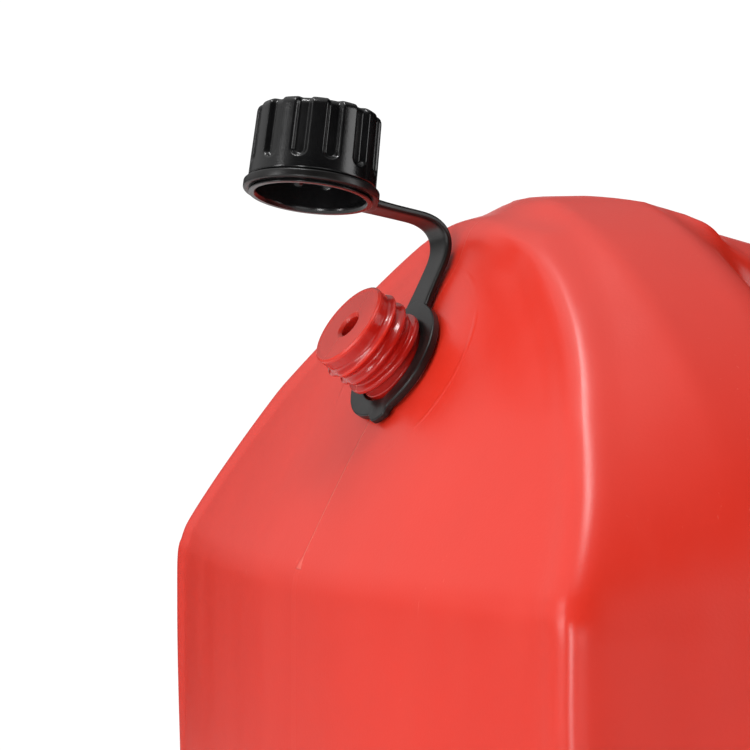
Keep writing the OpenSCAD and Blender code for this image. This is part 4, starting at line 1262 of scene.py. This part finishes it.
class CAN_OT_spout(bpy.types.Operator):
    """Builds the pour spout with its flange and the gasket under it"""

    bl_idname = "can.spout"
    bl_label = "Pour spout"

    def execute(self, context):
        scene = context.scene
        t, s = sizes(scene.can_tank), sizes(scene.can_spout)
        gasket, flange, foot, shoulder, tip = spout_heights(s)
        black = black_material("spout_polyethylene", scene.can_finishes.spout_black, 0.34, 0.46, 0.07)
        rubber = black_material("gasket_rubber", scene.can_finishes.spout_black, 0.6, 0.75, 0.12, 3200)
        flange_r = s["filler_r"] - FLANGE_IN
        end_r, mouth = s["tip_r"] + s["cap_wall"], s["tip_r"] - s["wall"]
        w = s["wall"]
        bead = s["tube_r"] + 0.45
        profile = rounded_profile([
            (s["foot_r"] - w, flange, 0.3), (flange_r, flange, 0.5), (flange_r, foot, 0.6), (s["foot_r"], foot, 0.8),
            (s["foot_r"], foot + 16, 8), (s["tube_r"], foot + 42, 16), (s["tube_r"] - 0.3, foot + 58, 0.8),
            (bead - 0.3, foot + 59, 0.5), (bead - 0.35, foot + 61, 0.5), (s["tube_r"] - 0.4, foot + 62, 0.8),
            (end_r, shoulder, 0.4), (s["tip_r"], shoulder, 0.3), (s["tip_r"], tip - 0.4, 0.8), (mouth, tip, 0.8),
            (mouth, shoulder, 3), (s["tube_r"] - w, foot + 40, 10), (s["foot_r"] - w, foot + 14, 6),
        ])
        mesh = solid([turned(finer(profile, 2.0), 128)], filler_frame(t))
        piece("pour_spout", mesh, black, "spout", "spout", "spout")
        ring_in = s["filler_r"] - s["filler_wall"] - GASKET_IN
        ring = rounded_profile([
            (ring_in, gasket, 0.4), (flange_r, gasket, 0.4), (flange_r, flange, 0.4), (ring_in, flange, 0.4),
        ])
        piece("filler_gasket", solid([turned(ring, 128)], filler_frame(t)), rubber, "gasket", "spout", "spout_gasket")
        return {"FINISHED"}


class CAN_OT_collar(bpy.types.Operator):
    """Builds the ribbed screw collar and the grooved tip cap"""

    bl_idname = "can.collar"
    bl_label = "Screw collar and tip cap"

    def execute(self, context):
        scene = context.scene
        t, s = sizes(scene.can_tank), sizes(scene.can_spout)
        _, _, foot, shoulder, tip = spout_heights(s)
        black = black_material("collar_polypropylene", scene.can_finishes.cap_black, 0.26, 0.38, 0.06)
        place = filler_frame(t)
        inner = s["filler_r"] + CLEARANCE
        outer = inner + s["collar_wall"]
        low, top, foot_r = COLLAR_LOW, foot + s["collar_lip"], s["foot_r"]
        profile = rounded_profile([
            (inner + 0.6, low, 0.4), (outer, low, 0.6), (outer - 0.25, low + 3.0, 0.4),
            (outer - 0.25, top - 2.4, 1.4), (outer - 2.6, top, 1.0), (foot_r + 2.2, top, 0.5),
            (foot_r + 1.6, top - 0.5, 0.3), (foot_r + CLEARANCE, top - 0.5, 0.3), (foot_r + CLEARANCE, foot, 0.2),
            (inner, foot, 0.6),
        ])
        mesh = solid([turned(finer(profile, 1.2), 192)], place)
        ribs = grown(grip_rib_tree(), {
            "Count": s["ribs"], "Radius": outer - RIB_SUNK, "Rib Radius": RIB_R, "Low": low + RIB_LOW,
            "High": top - RIB_HIGH, "Material": black,
        })
        mesh = joined(mesh, solid([shells(ribs)], place))
        piece("screw_collar", mesh, black, "cap", "collar", "spout_collar")
        bore, wall_r = s["tip_r"] + CLEARANCE, s["tip_r"] + s["cap_wall"]
        base, crown = shoulder + CLEARANCE, shoulder + s["cap_l"]
        outside = [
            (bore, base, 0.2), (wall_r + TIP_RIM_W, base, 0.5), (wall_r + TIP_RIM_W, base + 3, 0.6),
            (wall_r + 0.1, base + 3.6, 0.4), (wall_r - 0.75, crown - 0.1, 1.4), (wall_r - 3.4, crown, 0.5),
            (0, crown - 0.3, 0),
        ]
        lining = [(0, tip + CLEARANCE, 0), (bore, tip + CLEARANCE, 0.6), (bore, base + 0.8, 0)]
        whole = np.concatenate([
            finer(rounded_profile(outside, closed=False), 0.4, closed=False),
            finer(rounded_profile(lining, closed=False), 0.8, closed=False),
        ])

        def grooved(angle, radius, z):
            pitch = FULL_TURN / TIP_GROOVES
            off = (angle / pitch % 1 - 0.5) * pitch
            below = np.maximum(0, base + TIP_GROOVE_Z - z)
            reach = np.maximum(0, TIP_GROOVE_R**2 - (wall_r * np.sin(off)) ** 2 - below**2)
            wall = smooth_step(radius, wall_r - 2.6, wall_r - 1.4) * (z > base + 4.2)
            return radius - np.maximum(0, np.sqrt(reach) - TIP_GROOVE_OUT) * wall

        piece("tip_cap", solid([turned(whole, 240, wave=grooved)], place), black, "cap", "tip_cap", "spout_tip_cap")
        return {"FINISHED"}


# Stage

CAMERA_AZIMUTH, CAMERA_ELEVATION, CAMERA_DISTANCE, CAMERA_LENS = -25.0, 3.5, 1.3, 312
CAMERA_TARGET = (-0.1182, 0.0, 0.2448)
SENSOR, CLIP = 36, (0.02, 60)
BACKDROP = (0.965, 0.990, 0.0, 1.06)  # spread about the view's direction, and brightness
ROOM_GLOW = (((-0.15, 0.45, 0.88), 0.3, 0.6), ((0, 0, 1), 0.6, 0.25), ((-0.8, 0.5, 0.33), 0.5, 0.42))
LAMP_AIM = (-0.05, 0, 0.2)
LAMPS = (  # name, place, size, power
    ("strip_high", (-0.46, 0.02, 1.7), (0.9, 0.14), 12.0),
    ("strip_low", (-1.25, -1.05, 0.25), (0.2, 0.7), 8.0),
    ("strip_left", (-1.7, 0.0, 0.6), (0.2, 0.9), 7.0),
    ("side_right", (1.3, -1.28, 0.55), (0.7, 1.3), 11.0),
    ("front", (-0.45, -1.7, 0.3), (0.9, 0.5), 3.0),
)
FLOOR_RINGS, FLOOR_SIDES = (1e-4, 0.3, 0.7, 1.2), 96


def soft_light(name, at, size, power):
    """An area light aimed at the can's middle."""
    lamp = bpy.data.lights.new(name, "AREA")
    lamp.shape = "RECTANGLE"
    lamp.size, lamp.size_y = size
    lamp.energy = power
    made = bpy.data.objects.new(name, lamp)
    made.location = at
    made.rotation_euler = (Vector(LAMP_AIM) - Vector(at)).to_track_quat("-Z", "Y").to_euler()
    bpy.context.scene.collection.objects.link(made)


def studio_world(tree, backdrop_way):
    """Room lit from above and from the far left, with a white backdrop behind the can in the photograph's view."""
    ground = tree.nodes["Background"]
    way = tree.nodes.new("ShaderNodeTexCoord").outputs["Generated"]

    def toward(direction, *limits):
        side = tree.nodes.new("ShaderNodeVectorMath")
        side.operation = "DOT_PRODUCT"
        side.inputs[1].default_value = direction
        tree.links.new(way, side.inputs[0])
        return range_node(tree, side.outputs["Value"], *limits)

    level = toward(backdrop_way, *BACKDROP)
    for direction, low, strength in ROOM_GLOW:
        level = math_node(tree, "ADD", level, toward(direction, low, 1.0, 0.0, strength))
    tree.links.new(level, ground.inputs["Strength"])
    ground.inputs["Color"].default_value = (1, 1, 1, 1)


class CAN_OT_stage(bpy.types.Operator):
    """Sets the floor, the soft studio light and the camera"""

    bl_idname = "can.stage"
    bl_label = "Floor, light and camera"

    def execute(self, context):
        scene = context.scene
        angle = around(FLOOR_SIDES)
        disc = [np.stack([r * np.cos(angle), r * np.sin(angle), 0 * angle], -1) for r in FLOOR_RINGS]
        vertices, quads = surface(np.stack(disc))
        ground = bpy.data.meshes.new("studio_floor")
        ground.from_pydata(vertices.tolist(), [], quads.tolist())
        ground.materials.append(floor_material(scene.can_finishes.floor_pale))
        floor = bpy.data.objects.new("studio_floor", ground)
        scene.collection.objects.link(floor)
        a, e = math.radians(CAMERA_AZIMUTH), math.radians(CAMERA_ELEVATION)
        look = Vector((-math.sin(a) * math.cos(e), math.cos(a) * math.cos(e), -math.sin(e)))
        world = bpy.data.worlds.new("studio")
        scene.world = world
        world.use_nodes = True
        studio_world(world.node_tree, look)
        for lamp in LAMPS:
            soft_light(*lamp)
        scene.view_settings.view_transform = "Standard"
        lens = bpy.data.cameras.new("photo_camera")
        lens.lens, lens.sensor_width = CAMERA_LENS, SENSOR
        lens.clip_start, lens.clip_end = CLIP
        camera = bpy.data.objects.new("photo_camera", lens)
        camera.location = Vector(CAMERA_TARGET) - look * CAMERA_DISTANCE
        camera.rotation_euler = look.to_track_quat("-Z", "Y").to_euler()
        scene.collection.objects.link(camera)
        scene.camera = camera
        return {"FINISHED"}


class CAN_PT_sidebar(bpy.types.Panel):
    """Lists the can's sizes, finishes and builders"""

    bl_idname = "CAN_PT_sidebar"
    bl_label = "Fuel can"
    bl_space_type = "VIEW_3D"
    bl_region_type = "UI"
    bl_category = "Fuel can"

    def draw(self, context):
        for group in (getattr(context.scene, key) for key in GROUPS):
            box = self.layout.box()
            for key in group.__annotations__:
                box.prop(group, key)
        for operator in OPERATORS:
            self.layout.operator(operator.bl_idname)


OPERATORS = (CAN_OT_shell, CAN_OT_tether, CAN_OT_vent_cap, CAN_OT_spout, CAN_OT_collar, CAN_OT_stage)
GROUPS = {"can_tank": TankSizes, "can_vent": VentSizes, "can_spout": SpoutSizes, "can_finishes": Finishes}


def register():
    for group in GROUPS.values():
        bpy.utils.register_class(group)
    for key, group in GROUPS.items():
        setattr(bpy.types.Scene, key, PointerProperty(type=group))
    for operator in OPERATORS:
        bpy.utils.register_class(operator)
    bpy.utils.register_class(CAN_PT_sidebar)


def unregister():
    bpy.utils.unregister_class(CAN_PT_sidebar)
    for operator in reversed(OPERATORS):
        bpy.utils.unregister_class(operator)
    for key, group in GROUPS.items():
        delattr(bpy.types.Scene, key)
        bpy.utils.unregister_class(group)


def main():
    register()
    bpy.ops.can.shell()
    bpy.ops.can.tether()
    bpy.ops.can.vent_cap()
    bpy.ops.can.spout()
    bpy.ops.can.collar()
    bpy.ops.can.stage()


if __name__ == "__main__":
    main()
